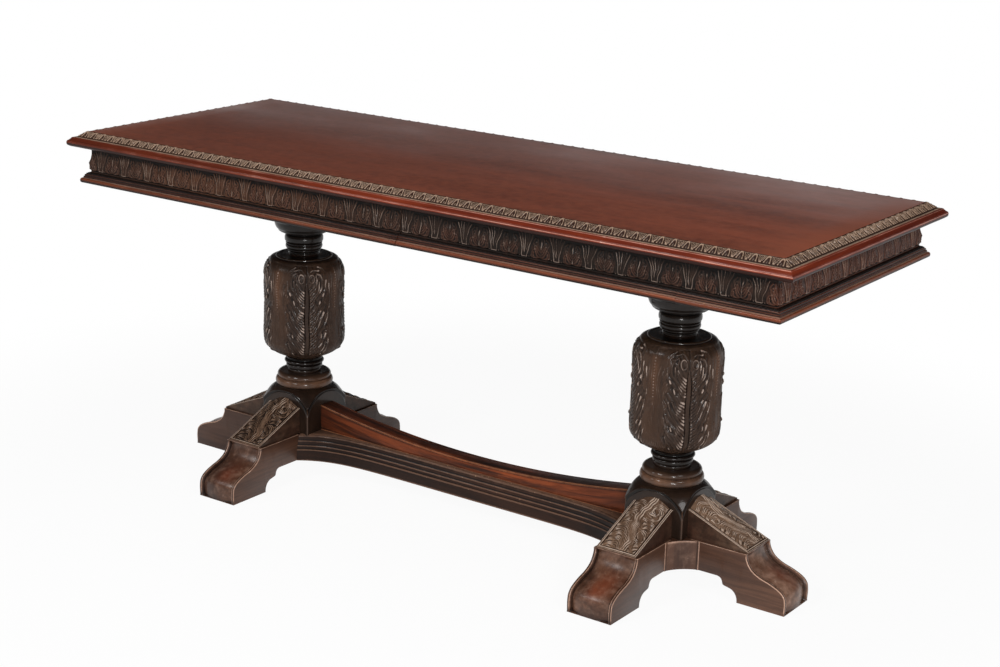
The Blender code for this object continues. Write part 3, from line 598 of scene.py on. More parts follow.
carvedBands()
print("band carved")

edgeLook = {
    "width": 0.0115, "inside": 0.0233, "rebate": 0.02, "shoulder": 0.0123, "stations": 160,
    "spacing": 0.0005,
    "shares": ((0.0, 1.0), (0.05, 1.0, 1), (0.25, 0.985), (0.33, 0.93, 1), (0.36, 0.9, 1),
        (0.52, 0.8), (0.7, 0.71), (0.82, 0.66, 1), (0.85, 0.655), (0.94, 0.58), (0.99, 0.47),
        (1.0, 0.36), (0.96, 0.24), (0.86, 0.14), (0.72, 0.08, 1), (0.52, 0.0))}


def edgeMouldings():
    # The nose: a fillet, a slight hollow and a full bead that turns under
    look = edgeLook
    shoulder = tableTop - look["shoulder"]
    nose = profileLine(look["shares"], look["width"], shoulder - topUnder, look["spacing"])
    nose = np.minimum(nose, (look["width"], shoulder - topUnder)) + (look["inside"], topUnder)
    rebate = tableTop - look["rebate"]
    section = np.vstack([[(seatGap, topUnder), (seatGap, rebate), (look["inside"], rebate)], nose])
    for side in sideTurns:
        half, line = halfAndLine(side, fieldHalf, fieldSide)

        def scraped(x):
            # Slow waves of a few hundredths of a millimetre, always inwards
            return 0.00005 * np.sin(x * 37 + 1) + 0.00004 * np.sin(x * 91) - 0.0001

        grid = carried(section, half, line, (None, None), look["stations"], scraped)
        up = (grid[..., 2] - topUnder) / (shoulder - topUnder)
        # Painted highlights along the top arris and the bead, fading towards the left end, and
        # painted shade under the nose
        fade = 0.2 + 0.8 * smoothStep(grid[..., 0], -0.9, 0.5)
        shade = fade * (0.26 * ridge(up - 0.93, 0.03) + 0.32 * ridge(up - 0.5, 0.035)) \
            - 0.6 * smoothStep(0.4 - up, 0, 0.06)
        addRun("edgeMoulding" + side.title(), grid, side, "edge_mahogany", "table",
               "edge_moulding_" + side, wear=(1, 0.0003), shade=shade)


edgeMouldings()
print("edge moulded")


def frameRuns(stem, drawerNode):
    # The runs under the top: name, side, ends, body, node and setback. Two seams cut the front,
    # and the drawer's length stands a little back.
    left, right = drawerLow.x - drawerSeam, drawerHigh.x + drawerSeam
    for place, side, ends in (("back", "back", (None, None)), ("left", "left", (None, None)),
                              ("right", "right", (None, None)),
                              ("front_left", "front", (None, left)),
                              ("front_right", "front", (right, None))):
        yield place.title().replace("_", ""), side, ends, "table", stem + place, 0.0
    yield ("Drawer", "front", (drawerLow.x, drawerHigh.x), "drawer", drawerNode,
           drawerSetback)


friezeLook = {
    "thickness": 0.02, "swell": 0.0015, "spacing": 0.00098, "frontRepeats": 24, "endRepeats": 8,
    "backCoarser": 1.5, "ground": 0.0014, "lift": 0.0022,
    "shares": ((-1.0, 0.0), (-1.0, 0.05, 1), (0.35, 0.085), (0.8, 0.22), (0.45, 0.4),
        (-0.75, 0.58), (-1.2, 0.8), (-1.1, 1.0)),
    "fan": ((-1, 1, -9), (1, 0.8, -9), (-0.56, 0.8, 9), (0.52, 0.6, 11), (-0.12, 0.9, 7),
        (-0.82, 0.4, 26), (0.22, 0.5, 20), (0.8, 0.5, 24)),
    "leaf": ((1.7, (0.8, 7), (5, 9), (10, 14), (13, 22)),
        (1.5, (0.8, 11), (5, 14), (8.5, 20), (10.5, 28)),
        (1.6, (0.8, 16), (4, 20), (7.5, 27), (9, 34)),
        (1.4, (0.8, 21), (3.6, 27), (6, 34), (7, 41)),
        (1.7, (3, 5.3), (9, 5), (14, 8), (16, 15.5)),
        (1.5, (8, 5), (15, 4.6), (19, 8), (19.5, 15)),
        (1.6, (13, 22), (17, 20), (19.5, 15), (18, 8)),
        (1.5, (11.5, 28), (15, 29), (16, 35), (12, 41)),
        (1.3, (9, 35), (12, 33), (14, 27), (13, 22)))}


def leafFrieze(x, rise, repeat):
    # x along and rise up the face, in mm, both swayed a little as hand work is. A fan of thin
    # ridges, each with its share of the fan's half-width, its strength and its start: the
    # half-width is 5.8 mm and grows as rise to the power 1.6, and the outer ridges turn into a
    # foot. Between two fans stands a rib with overlapping leaf strokes on both sides. Returned are
    # the height, and how much a point belongs to the thin ridges and to the leaf.
    swayed = x + 0.8 * np.sin(rise / 8.3 + x / 41) + 0.5 * np.sin(rise / 3.7 + x / 17)
    number = np.round(x / repeat - 0.5)
    fromFan = wrapped(swayed - repeat / 2, repeat)
    fan = 5.8 + 0.5 * np.sin(number * 2.4) + 13.5 * np.clip((rise - 9) / 44, 0, 1) ** 1.6
    q = fromFan / fan
    tips = 49 + 2.5 * np.cos(2 * math.pi * q * 2) - 4 * q ** 2 + 1.5 * np.sin(number * 5.1)
    inFan = smoothStep(tips - rise, 0, 2.5) * smoothStep(rise, 4.0, 5.2)
    lively = 0.8 + 0.2 * np.sin(number * 7.7 + rise / 9)
    lines = [ridge((q - share) * fan, 0.9) * strength * smoothStep(rise, start, start + 8)
             for share, strength, start in friezeLook["fan"]]
    foot = smoothStep(7.0 - np.abs(fromFan), 0, 1.2) * ridge(rise - 5.0, 1.0)
    thin = np.maximum(inFan * np.maximum.reduce(lines) * lively, 0.8 * foot)
    pearl = 1 - ((np.abs(fromFan) - 10.6) ** 2 + (rise - 5.8) ** 2) / 3.6

    fromLeaf = wrapped(swayed + 0.6 * np.sin(number * 3.7), repeat)
    leaf = strokes(np.abs(fromLeaf) + 0.7 * np.sin(rise / 5 + number), rise,
                   friezeLook["leaf"], 0.55)
    bulk = 1 - ((np.abs(fromLeaf) - 10) / 12) ** 2 - ((rise - 20) / 22) ** 2
    bulk = np.clip(bulk, 0, 1) ** 0.5
    rib = ridge(fromLeaf - 0.4, 1.2) * smoothStep(rise, 5, 9) * smoothStep(41 - rise, 0, 8)
    rib = rib * (0.65 + 0.35 * np.sin(number * 4.3 + rise / 6))
    height = np.maximum.reduce([0.9 * thin, 0.5 * np.clip(pearl, 0, 1) ** 0.5,
                                inFan * 0.14 * (np.abs(q) < 1),
                                0.25 * bulk + 0.65 * leaf * (rise < 44), 0.9 * rib])
    return height, np.maximum(thin, 0.8 * rib), np.maximum(bulk, 0.6 * leaf) * (1 - rib)


def friezeBoards():
    # A swelling face with the carving between a quirk at the bottom and the plain top edge
    look = friezeLook
    bottom = baseTop + seatGap
    height = topUnder - seatGap - bottom
    face = profileLine(look["shares"], look["swell"], height, look["spacing"]) + (0, bottom)
    section = np.vstack([[(-look["thickness"], bottom)], face,
                         [(-look["thickness"], bottom + height)]])
    rise = (section[:, 1] - bottom) * toMm
    onFace = np.concatenate([[0], np.ones(len(face)), [0]]) * smoothStep(rise, 1.5, 4) \
        * smoothStep(rise, 57.5, 55.0)
    for name, side, ends, body, node, setback in frameRuns("frieze_", "drawer_front"):
        half, line = halfAndLine(side, friezeHalf, friezeSide)
        repeats = look["endRepeats" if side in ("left", "right") else "frontRepeats"]
        repeat = 2 * toMm * half / repeats
        span = (half if ends[1] is None else ends[1]) + (half if ends[0] is None else -ends[0])
        coarser = look["backCoarser"] if side == "back" else 1

        def carving(x):
            height = leafFrieze(x * toMm, rise, repeat)[0]
            return onFace * (height * look["lift"] - look["ground"])

        grid = carried(section, half, line, ends, int(span / look["spacing"] / coarser), carving,
                       setback)
        carved, thin, leaf = leafFrieze(grid[..., 0] * toMm, rise, repeat)
        # Painted highlights on the fan lines and leaf crests, fading towards the top; painted
        # shade in the hollows between leaf strokes, a painted shadow of the edge moulding over the
        # top and painted shade in the quirk at the foot; the ground is darker
        crest = smoothStep(carved, 0.66, 0.86) * (1 - thin)
        hollow = leaf * (1 - smoothStep(carved, 0.42, 0.62)) * (1 - thin)
        shade = (0.22 * thin + 0.26 * crest) * smoothStep(56 - rise, 0, 24) \
            - 0.15 * (1 - np.maximum(thin, leaf)) - 0.2 * hollow \
            - 0.25 * smoothStep(rise, 34, 52) - 0.5 * smoothStep(4.5 - rise, 0, 2)
        addRun("leafFrieze" + name, grid, side, "carved_frieze", body, node,
               wear=(3, 0.0013), sharp=70, shade=shade,
               rubbed=0.1 + 0.7 * leaf * smoothStep(36 - rise, 0, 18))


friezeBoards()
print("frieze carved")

baseLook = {
    "projection": 0.0155, "thickness": 0.02, "stations": 90, "spacing": 0.0005,
    "shares": ((0.7, 0.0), (0.84, 0.0, 1), (0.95, 0.08), (1.0, 0.24), (0.94, 0.4), (0.78, 0.49, 1),
        (0.66, 0.5, 1), (0.66, 0.65, 1), (0.54, 0.665, 1), (0.54, 0.82, 1), (0.4, 0.835, 1),
        (0.39, 0.93, 1), (0.26, 0.96), (0.22, 1.0)),
    "arrises": ((0.49, 1.0), (0.65, 0.72), (0.82, 0.78))}


def baseMouldings():
    # Under the frieze: three fillets stepping out over a full ovolo
    look = baseLook
    height = baseTop - frameBottom
    face = profileLine(look["shares"], look["projection"], height, look["spacing"])
    face += (0, frameBottom)
    for name, side, ends, body, node, setback in frameRuns("base_moulding_", "drawer_moulding"):
        back = look["thickness"] - (setback + seatGap if setback else 0)
        section = np.vstack([[(-back, frameBottom)], face, [(-back, baseTop)]])
        half, line = halfAndLine(side, friezeHalf, friezeSide)
        grid = carried(section, half, line, ends, look["stations"], None, setback)
        up = (grid[..., 2] - frameBottom) / height
        # Painted highlight lines on the fillets' arrises, fading towards the left end; painted
        # shade on the fillets between them and under the ovolo
        lines = np.maximum.reduce([ridge(up - at, 0.046) * much for at, much in look["arrises"]])
        fade = 0.6 + 0.4 * smoothStep(grid[..., 0], -0.4, 0.7)
        shade = 0.46 * fade * lines - 0.6 * smoothStep(up, 0.5, 0.54) * (1 - lines) \
            - 0.45 * smoothStep(0.26 - up, 0, 0.2)
        # the rubbed mask: the ovolo's bulge redder, rubbed wood with a painted sheen, more at the
        # right
        rubbed = 0.6 * ridge(up - 0.36, 0.1) * (0.75 + 0.25 * smoothStep(grid[..., 0], 0.3, 0.64))
        addRun("baseMoulding" + name, grid, side, "base_mahogany", body, node,
               wear=(1, 0.0024), shade=shade, rubbed=rubbed)


baseMouldings()
print("base moulding run")


# Turned and carved columns

turningLook = {
    "around": 96, "spacing": 0.0011, "neckRadius": 0.068, "collarRadius": 0.064,
    "neck": ((0.97, 1.0, 1), (0.985, 0.86), (1.0, 0.7), (1.0, 0.589), (0.99, 0.522, 1),
        (0.955, 0.505, 1), (0.94, 0.455), (0.885, 0.405), (0.842, 0.388, 1), (0.831, 0.372, 1),
        (0.78, 0.356), (0.68, 0.342), (0.56, 0.332, 1), (0.545, 0.316, 1), (0.59, 0.306),
        (0.618, 0.282), (0.626, 0.25), (0.614, 0.22), (0.572, 0.204, 1), (0.592, 0.196),
        (0.594, 0.186), (0.562, 0.177, 1), (0.586, 0.167), (0.598, 0.146), (0.586, 0.124),
        (0.546, 0.112, 1), (0.56, 0.104), (0.556, 0.094), (0.512, 0.086, 1), (0.488, 0.07),
        (0.486, 0.06, 1), (0.504, 0.052), (0.506, 0.04), (0.49, 0.03, 1), (0.57, 0.024),
        (0.68, 0.02), (0.8, 0.018), (0.88, 0.019), (0.914, 0.013), (0.92, 0.0)),
    "collar": ((0.6, 1.0, 1), (0.642, 0.965), (0.6, 0.925, 1), (0.6, 0.895, 1), (0.668, 0.862),
        (0.688, 0.82), (0.662, 0.772), (0.575, 0.735, 1), (0.622, 0.712), (0.632, 0.66),
        (0.622, 0.605), (0.54, 0.57, 1), (0.566, 0.535), (0.56, 0.452, 1), (0.7, 0.458),
        (0.83, 0.455), (0.905, 0.41), (0.932, 0.335), (0.9, 0.27, 1), (0.962, 0.238), (1.0, 0.15),
        (0.98, 0.05), (0.9, 0.0))}


def spun(profile, centre, around):
    # Lathe surface: the profile's radius carried round the upright axis
    angle = np.linspace(0, 2 * math.pi, around, endpoint=False)
    radius, level = profile[:, :1], profile[:, 1:]
    return np.stack([centre + radius * np.cos(angle), radius * np.sin(angle),
                     level + 0 * angle], axis=2)


def uprightGrain(grid, centre, offset):
    # Grain place with the piece's upright axis first
    return np.stack([grid[..., 2], grid[..., 0] - centre + offset, grid[..., 1] + offset], axis=2)


def turnings(hand, centre, offset):
    # The bowl and neck above the drum, with a painted sheen on the dish at their foot and painted
    # shade on the dish's rim, and the collar below it, rubbed bare on its torus
    look = turningLook
    for part in ("neck", "collar"):
        node = "column_%s_%s" % (part, hand)
        low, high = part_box(node)
        profile = profileLine(look[part], look[part + "Radius"], high.z - low.z, look["spacing"])
        grid = spun(profile + (0, low.z), centre, look["around"])
        up = (grid[..., 2] - low.z) * toMm
        # the neck's dish gets a little painted sheen through the rubbed mask and painted shade on
        # its rim; the collar's torus is rubbed bare
        rubbed = 0.2 * smoothStep(8 - up, 0, 4) if part == "neck" else ridge(up - 14, 13)
        addPiece("turned%s%s" % (part.title(), hand.title()), grid, "ebonised_turning", "table",
                 [node], place=uprightGrain(grid, centre, offset), wear=(2, 0.0006), sharp=42,
                 rubbed=rubbed, shade=-0.55 * smoothStep(5 - up, 0, 3) * (part == "neck"))


drumLook = {
    "radius": 0.0905, "around": 440, "spacing": 0.0013, "ground": 0.0033, "lift": 0.0046,
    "shares": ((0.7, 1.0, 1), (0.77, 0.995), (0.85, 0.975), (0.925, 0.94), (0.973, 0.895),
        (0.992, 0.845), (0.995, 0.78), (0.985, 0.6), (0.99, 0.4), (1.0, 0.215), (0.985, 0.155),
        (0.925, 0.108), (0.82, 0.072), (0.65, 0.036), (0.5, 0.014), (0.44, 0.0)),
    "spine": -math.pi / 4, "ribHalf": 4.2, "leafletGap": 7.0, "leafletWidth": 2.7,
    "tiers": ((131, 6), (74, 7), (22, 7)), "leaflet": ((23, 17), (17.5, 9), (11.5, 3.5), (6, 0)),
    "arcs": ((2.6, (18, 149), (26, 159), (32.5, 170), (35.5, 188), (30, 203), (23, 208)),
        (2.8, (21, 79), (29, 92), (34, 104), (39, 117)),
        (2.8, (18, 30), (29, 43), (37.5, 56), (44, 69)), (1.8, (20, 96), (26, 108), (31, 121)),
        (1.8, (24, 160), (28, 173), (28, 190)), (1.8, (22, 176), (23, 190), (21, 204)),
        (1.8, (36, 18), (45, 36), (51, 56)), (1.8, (40, 78), (46, 96), (50, 118)),
        (1.8, (38, 150), (43, 168), (44, 190)), (1.8, (28, 24), (37, 36), (43, 50)),
        (1.8, (8, 210), (16, 215), (28, 213)), (1.8, (52, 120), (55, 150), (52, 180)),
        (1.8, (45, 206), (38, 216), (27, 220))), "loop": (11.5, 195),
    "holes": ((35, 147), (38, 72), (38, 24), (52, 60), (21, 141)),
    "knobs": ((29, 141), (32, 66), (33, 20), (38, 160))}


def acanthus(x, rise, look):
    # x from the spine round the drum and rise, in mm. A smooth rib runs up the middle. On each
    # side of it stand three tiers of short curved leaflets, then long arched ridges, a loop at
    # the top, and holes with knobs beside them. Returned are the height, the leaf's extent and
    # the painted glints on the crests: the leaflets on one side, the arches on the other.
    side = np.abs(x + 0.6 * np.sin(rise / 13 + x / 30))
    level = rise + 1.4 * np.sin(side / 7 + rise / 21 + np.sign(x)) \
        + 0.5 * np.sin(side / 2.3 + rise / 9)
    starts = [first + look["leafletGap"] * k
              for first, count in look["tiers"] for k in range(count)]
    leaflets = [(look["leafletWidth"], *((s, start + r) for s, r in look["leaflet"]))
                for start in starts]
    leaflets = strokes(side, level, leaflets, 0.2)
    arches = strokes(side, level, look["arcs"], 0.2)
    loop = ridge(np.hypot(side - look["loop"][0], (level - look["loop"][1]) * 0.66) - 6.0, 1.7)
    edge = 47 + 4 * np.sin(level / 6.2) + 1.5 * np.sin(level / 2.3) \
        - 12 * smoothStep(level, 150, 215)
    onLeaf = smoothStep(edge - side, 0, 6) * smoothStep(level, 8, 16) \
        * smoothStep(222 - level, 0, 4)
    folds = 0.34 + 0.12 * np.sin((level - 1.6 * side) / 2.6 + np.sin(side / 5))
    holes = sum(ridge(np.hypot(side - across, (level - up) * 0.55), 3.2)
                for across, up in look["holes"])
    knobs = sum(np.clip(1 - ((side - across - 0.3 * (level - up)) / 2.6) ** 2
                        - ((level - up) / 6.0) ** 2, 0, 1) ** 0.5 for across, up in look["knobs"])
    height = np.maximum.reduce([folds * onLeaf, 0.9 * leaflets, 0.95 * arches, 0.7 * loop])
    height = np.maximum(height * (1 - np.clip(holes, 0, 1)), 1.1 * knobs)
    half = look["ribHalf"] * smoothStep(196 - level, 0, 40) + 0.01
    height = height * (1 - ridge(side - half - 0.4, 1.4)) * smoothStep(side - half, -0.8, 0.3)
    height = np.maximum(height, 0.42 * smoothStep(half - side, -0.4, 0.8))
    paintedGlints = np.where(x < 0, np.maximum(leaflets, 0.5 * loop), np.maximum(arches, 0.3 * loop))
    paintedGlints = np.maximum(paintedGlints, 0.8 * knobs) * (0.5 + 0.5 * np.sin(level / 6.7 + side / 4.1))
    return height, np.maximum(onLeaf, smoothStep(height, 0.15, 0.3)), paintedGlints


def waterLeaf(x, rise):
    # x from the beaded rib and rise, in mm. The face is a row of shallow flutes, the cosine of
    # the share of a half-width that opens towards the top; pearls 6 mm apart run up the rib.
    side = np.abs(x + 1.2 * np.sin(rise / 19))
    q = side / (14 + 26 * smoothStep(rise, 110, 215) + 8 * smoothStep(60 - rise, 0, 50))
    flutes = 0.5 + 0.5 * np.cos(2 * math.pi * 5.0 * q ** 0.9 + 1.6 * np.sin(rise / 13 + x / 9))
    flutes = 0.22 * smoothStep(216 - rise, 0, 40) * flutes * smoothStep(q, 0.02, 0.1)
    height = 0.34 + flutes + 0.14 * ridge(side, 1.8)
    pearls = np.clip(1 - (side / 2.6) ** 2 - (wrapped(rise, 6.0) / 2.6) ** 2, 0, 1) ** 0.5
    return np.maximum(height, 0.75 * pearls * smoothStep(rise, 118, 122) * (rise < 206))


def carvedDrum(hand, centre, offset):
    # Lathe surface whose radius is lifted by the leaves: four acanthus leaves over the block's
    # corners with four water leaves between them
    look = drumLook
    node = "column_drum_" + hand
    low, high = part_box(node)
    profile = profileLine(look["shares"], look["radius"], high.z - low.z, look["spacing"])
    grid = spun(profile + (0, low.z), centre, look["around"])
    angle = np.linspace(0, 2 * math.pi, look["around"], endpoint=False)
    rise = profile[:, 1:] * toMm + 0 * angle
    fromSpine, fromRib = (wrapped(angle - start, quarterTurn) * look["radius"] * toMm
                          for start in (look["spine"], look["spine"] + math.pi / 4))
    leaf, leafHere, paintedGlints = acanthus(fromSpine + 0 * rise, rise, look)
    height = np.maximum(leaf, waterLeaf(fromRib, rise) * (1 - leafHere))
    onSide = smoothStep(rise, 9, 22) * smoothStep(225 - rise, 0, 5)
    lift = onSide * (height * look["lift"] - look["ground"])
    rubbed = (1 - 0.7 * leafHere) * (0.22 + 0.6 * ridge(fromRib, 9) * smoothStep(rise, 90, 185)) \
        * smoothStep(216 - rise, 0, 14)
    grid[..., 0] += lift * np.cos(angle)
    grid[..., 1] += lift * np.sin(angle)
    # The shade paints glints on the crests, darkens the acanthus a little, and paints shade on the
    # top rim beside the neck's dish
    addPiece("carvedDrum" + hand.title(), grid, "carved_drum", "table", [node],
             place=uprightGrain(grid, centre, offset), wear=(3, 0.0024), sharp=70, rubbed=rubbed,
             shade=0.38 * paintedGlints - 0.1 * leafHere - 0.2 * smoothStep(rise, 224, 226))


blockLook = {
    "dome": ((0.6, 1.0, 1), (0.64, 0.982), (0.72, 0.965), (0.8, 0.932), (0.87, 0.883),
        (0.94, 0.823), (1.0, 0.764), (1.06, 0.653, 1), (1.06, 0.0)), "domeFoot": 0.6,
    "cornerPower": 110, "rim": 0.0016, "perSide": 120, "upright": 16, "spacing": 0.0011}


def centreBlock(hand, centre, offset):
    # Radius at each level and angle is the smaller of the dome's and the square's, with the
    # square's corner eased, and the dome stands a little proud of the faces it meets
    look = blockLook
    low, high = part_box("centre_block_" + hand)
    half = (high.y - low.y) / 2
    height = high.z - low.z
    dome = profileLine(look["dome"], half * math.sqrt(2), height, look["spacing"])
    upper = dome[dome[:, 1] > look["domeFoot"] * height, 1]
    levels = np.concatenate([upper, np.linspace(upper[-1], 0, look["upright"])[1:]])[:, None]
    flank = np.interp(-levels, -dome[:, 1], dome[:, 0])
    angle = np.linspace(0, 2 * math.pi, 4 * look["perSide"], endpoint=False) + math.pi / 4
    corner = look["cornerPower"]
    narrow = half * (np.abs(np.cos(angle)) ** corner + np.abs(np.sin(angle)) ** corner) \
        ** (-1 / corner)
    gap = flank - narrow
    face = narrow - look["rim"] * smoothStep(0.0035 - np.abs(gap - 0.004), 0, 0.002) * (gap > 0)
    radius = np.where(gap > 0, face, flank)
    grid = np.stack([centre + radius * np.cos(angle), radius * np.sin(angle),
                     low.z + levels + 0 * angle], axis=2)
    # Painted shade along the arch rims. The rubbed mask: a little rubbed wood all over, and a
    # painted highlight, with rubbed wood, down the vertical arrises.
    onArris = ridge(wrapped(angle - math.pi / 4, quarterTurn), 0.012) * (gap > 0)
    addPiece("centreBlock" + hand.title(), grid, "ebonised_turning", "table",
             ["centre_block_" + hand], place=uprightGrain(grid, centre, offset),
             wear=(2, 0.0009), sharp=35, shade=-0.3 * ridge(gap - 0.004, 0.006),
             rubbed=0.15 + 0.6 * onArris)


# Feet, brackets and corner pieces

def addToPedestal(title, grid, slot, node, hand, side, centre, turn, **more):
    # The piece is made pointing to the front, then turned about the column and set under it
    addPiece(title + hand.title() + side.title(), turnedBy(grid, turn) + (centre, 0, 0), slot,
             "table", [node], **more)


footLook = {
    "reach": 0.289, "nose": 0.2005, "sole": 0.186, "relief": 0.0085, "arris": 0.0009, "across": 44,
    "rubbed": {"left": 0.4, "right": 0.7}, "toeSpacing": 0.0022, "archSpacing": 0.003,
    "faceSpacing": 0.01, "rimShare": 0.18, "rimPower": 1.4, "rimSteps": 15,
    "toe": ((0.0, 1.0, 1), (0.02, 0.91), (0.065, 0.82), (0.14, 0.735), (0.25, 0.668),
        (0.39, 0.615), (0.54, 0.577), (0.68, 0.535), (0.81, 0.485), (0.915, 0.423), (0.98, 0.346),
        (1.0, 0.26), (0.995, 0.0, 1)),
    "arch": ((1.0, 0.0, 1), (0.99, 0.25), (0.965, 0.43), (0.925, 0.55), (0.875, 0.6, 1),
        (0.823, 0.67), (0.812, 0.83), (0.79, 0.95), (0.755, 1.0, 1)),
    "face": ((-1.0, 0.2), (-0.975, 0.04), (-0.94, 0.0), (-0.9, 0.04), (-0.87, 0.3, 1),
        (-0.845, 1.0, 1), (-0.78, 0.82), (-0.6, 0.47), (-0.4, 0.21), (-0.2, 0.053), (0.0, 0.0),
        (0.2, 0.053))}


def ogeeFoot(hand, place, centre, turn, offset):
    # Side outline of the foot, carried across its width. The toe face is cut back by the face
    # table: a bead along each edge, a quirk, and a full middle. Near the sides the whole outline
    # draws in along a small quarter round. The shade paints highlights on the arris, the bead and
    # the top edge and shade in the quirks and against the block, the toe is painted lighter and
    # the outer foot's more, the lowest part is darker, and the nose is rubbed.
    look = footLook
    node = "foot_%s_%s" % (hand, place)
    low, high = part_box(node)
    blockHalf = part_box("centre_block_" + hand)[1].y
    top = high.z
    half = min(high.x - low.x, high.y - low.y) / 2
    toe = profileLine(look["toe"], look["reach"] - look["nose"], top, look["toeSpacing"])
    toe += (look["nose"], 0)
    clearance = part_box("infill_%s_front" % hand)[0].z
    arch = profileLine(look["arch"], look["sole"], clearance, look["archSpacing"])
    inner = blockHalf + seatGap
    back = np.linspace((inner, top), toe[0], 24)[:-1]
    under = np.linspace(arch[-1], (inner, clearance), 12)[1:]
    outline = np.vstack([back, toe, arch, under])
    normal = sectionNormals(outline)
    onToe = np.zeros(len(outline))
    onToe[len(back):len(back) + len(toe)] = smoothStep(lengthAlong(toe), 0.0, 0.006)
    rim = look["rimShare"] * np.linspace(0, 1, look["rimSteps"])[:-1] ** look["rimPower"]
    middle = np.linspace(-1, 1, look["across"]) * (1 - look["rimShare"])
    across = np.concatenate([rim - 1, middle, 1 - rim[::-1]])
    face = profileLine(look["face"], 1.0, 1.0, look["faceSpacing"])
    cut = np.interp(-np.abs(across), face[:, 0], face[:, 1])
    near = np.clip(look["arris"] - (1 - np.abs(across)) * half, 0, look["arris"])
    ease = look["arris"] - np.sqrt(look["arris"] ** 2 - near ** 2)
    depth = look["relief"] * cut[:, None] * onToe + ease[:, None]
    out = outline[:, 0] - depth * normal[:, 0]
    level = np.maximum(outline[:, 1] - depth * normal[:, 1], 0)
    level = np.where(outline[:, 1] == 0, 0.0, level)
    grid = np.stack([(across * half)[:, None] + 0 * out, -out, level], axis=2)
    grain = np.stack([out + offset, grid[..., 0] + 0.3 * offset, level], axis=2)
    fromEdge = ((1 - np.abs(across)) * half * toMm)[:, None]
    nose = ridge(level - 0.054, 0.014) * ridge(across[:, None] - 0.15, 0.42)
    atTop = ridge((top - level) * toMm - 0.3, 0.8) * (1 - onToe)
    # painted highlights on the arris, bead and top edge; painted shade in the quirks and where the
    # foot meets the block; painted light on the toe, more on the outer foot; darker low down
    shade = onToe * (0.28 * ridge(fromEdge - 0.4, 0.5) - 0.5 * ridge(fromEdge - 1.9, 0.6)
                     - 0.4 * ridge(fromEdge - 7.2, 0.9) + 0.25 * ridge(fromEdge - 5.0, 0.7)
                     + 0.08 + 0.06 * (place == "outer")) \
        + 0.28 * atTop * ridge(fromEdge, 1.5) - 0.3 * smoothStep(0.012 - level, 0, 0.01) \
        - 0.6 * smoothStep(inner + 0.012 - out, 0, 0.004)
    addToPedestal("ogeeFoot", grid, "foot_mahogany", node, hand, place, centre, turn,
                  place=grain, wear=(1, 0.003), sharp=50, shade=shade,
                  rubbed=look["rubbed"][hand] * nose * onToe)


bracketLook = {
    "nose": 0.2005, "head": 0.162, "toe": 0.0028, "crown": 0.0165, "border": 0.005,
    "spacing": 0.00095, "ground": 0.0013, "lift": 0.0028, "wallSteps": (0.02, 0.07, 0.4, 1.0),
    "edging": ((0, -0.6), (0.4, -0.1), (1.2, 0.0), (1.7, -1.0), (2.3, -1.2), (2.9, 0.1),
        (3.8, 0.5), (4.7, 0.1), (5.3, -0.9), (6.3, -1.3), (6.9, -1.3)),
    "leaf": ((2.6, (4, 1), (8, 30), (0, 60), (-8, 85), (-5, 115), (3, 142)),
        (2.8, (9, 1), (13, 30), (5, 60), (-3, 85), (0, 115), (8, 142)),
        (2.6, (14, 1), (18, 28), (10, 60), (3, 85), (5, 112), (13, 142)),
        (2.6, (8, 92), (19, 91), (32, 100), (34, 117), (25, 127), (15, 120), (17, 109), (25, 108),
         (27, 115)), (2.4, (14, 38), (26, 35), (36, 46), (33, 60), (23, 63), (18, 54), (24, 47)),
        (3.0, (16, 66), (24, 76), (37, 79)), (3.0, (12, 76), (21, 84), (36, 89)),
        (2.8, (20, 8), (28, 12), (37, 24)), (2.8, (20, 22), (26, 26), (34, 33)),
        (2.8, (14, 128), (24, 134), (37, 136)), (2.2, (30, 66), (36, 68), (38, 62)),
        (3.2, (2, 6), (-10, 16), (-24, 17), (-35, 10)),
        (3.0, (4, 18), (-8, 29), (-22, 31), (-36, 24)),
        (3.2, (4, 32), (-9, 43), (-23, 46), (-37, 40)),
        (3.0, (0, 46), (-12, 57), (-24, 60), (-37, 55)),
        (3.2, (-5, 60), (-17, 70), (-28, 72), (-38, 67)),
        (2.4, (-10, 74), (-20, 76), (-32, 81), (-33, 92), (-24, 96), (-18, 89), (-24, 84)),
        (3.0, (-9, 96), (-18, 104), (-29, 106), (-38, 102)),
        (3.0, (-7, 109), (-17, 117), (-28, 119), (-38, 115)),
        (3.0, (-3, 122), (-14, 130), (-26, 133), (-37, 130)), (2.2, (-16, 4), (-26, 6), (-36, 3)),
        (2.4, (30, 2), (35, 8), (38, 14)))}


def scrollingLeaf(across, along):
    # across from -39 to 39 and along from the toe, in mm, both swayed as hand work is. Fine
    # gouge strokes follow the look's table, each with two thinner ones beside it, over a ground
    # of shallow curling lines. Returned are the height and the nearness to the stem.
    a = across + 1.2 * np.sin(along / 7.1) + 0.9 * np.sin(along / 3.3 + across / 9)
    b = along + 1.2 * np.sin(across / 5.3 + 1) + 0.8 * np.sin(across / 2.9 + along / 11)
    flow = a * 0.62 + b * 0.5 * np.sign(a - 4) + 3.5 * np.sin(b / 9.0) + 2.5 * np.sin(a / 6.0)
    ground = 0.26 * (0.5 + 0.5 * np.cos(2 * math.pi * flow / 3.1)) \
        * (0.55 + 0.45 * np.sin(b / 6.1 + a / 4.7))
    cuts = [(share * width, *((x + shift, y + rise) for x, y in line))
            for width, *line in bracketLook["leaf"]
            for shift, rise, share in ((0, 0, 0.55), (1.2, 3.4, 0.36), (-1.0, -3.2, 0.3))]
    height = strokes(a, b, cuts, 0.1)
    lively = 0.7 + 0.3 * np.sin(b / 5.3 + a / 3.1)
    stem = ridge(a - np.interp(b, (0, 30, 60, 85, 115, 142), (8, 12, 5, -3, 0, 8)), 8.0)
    return np.maximum(height * lively, ground) * (1 - 0.25 * stem) + 0.2 * stem, stem


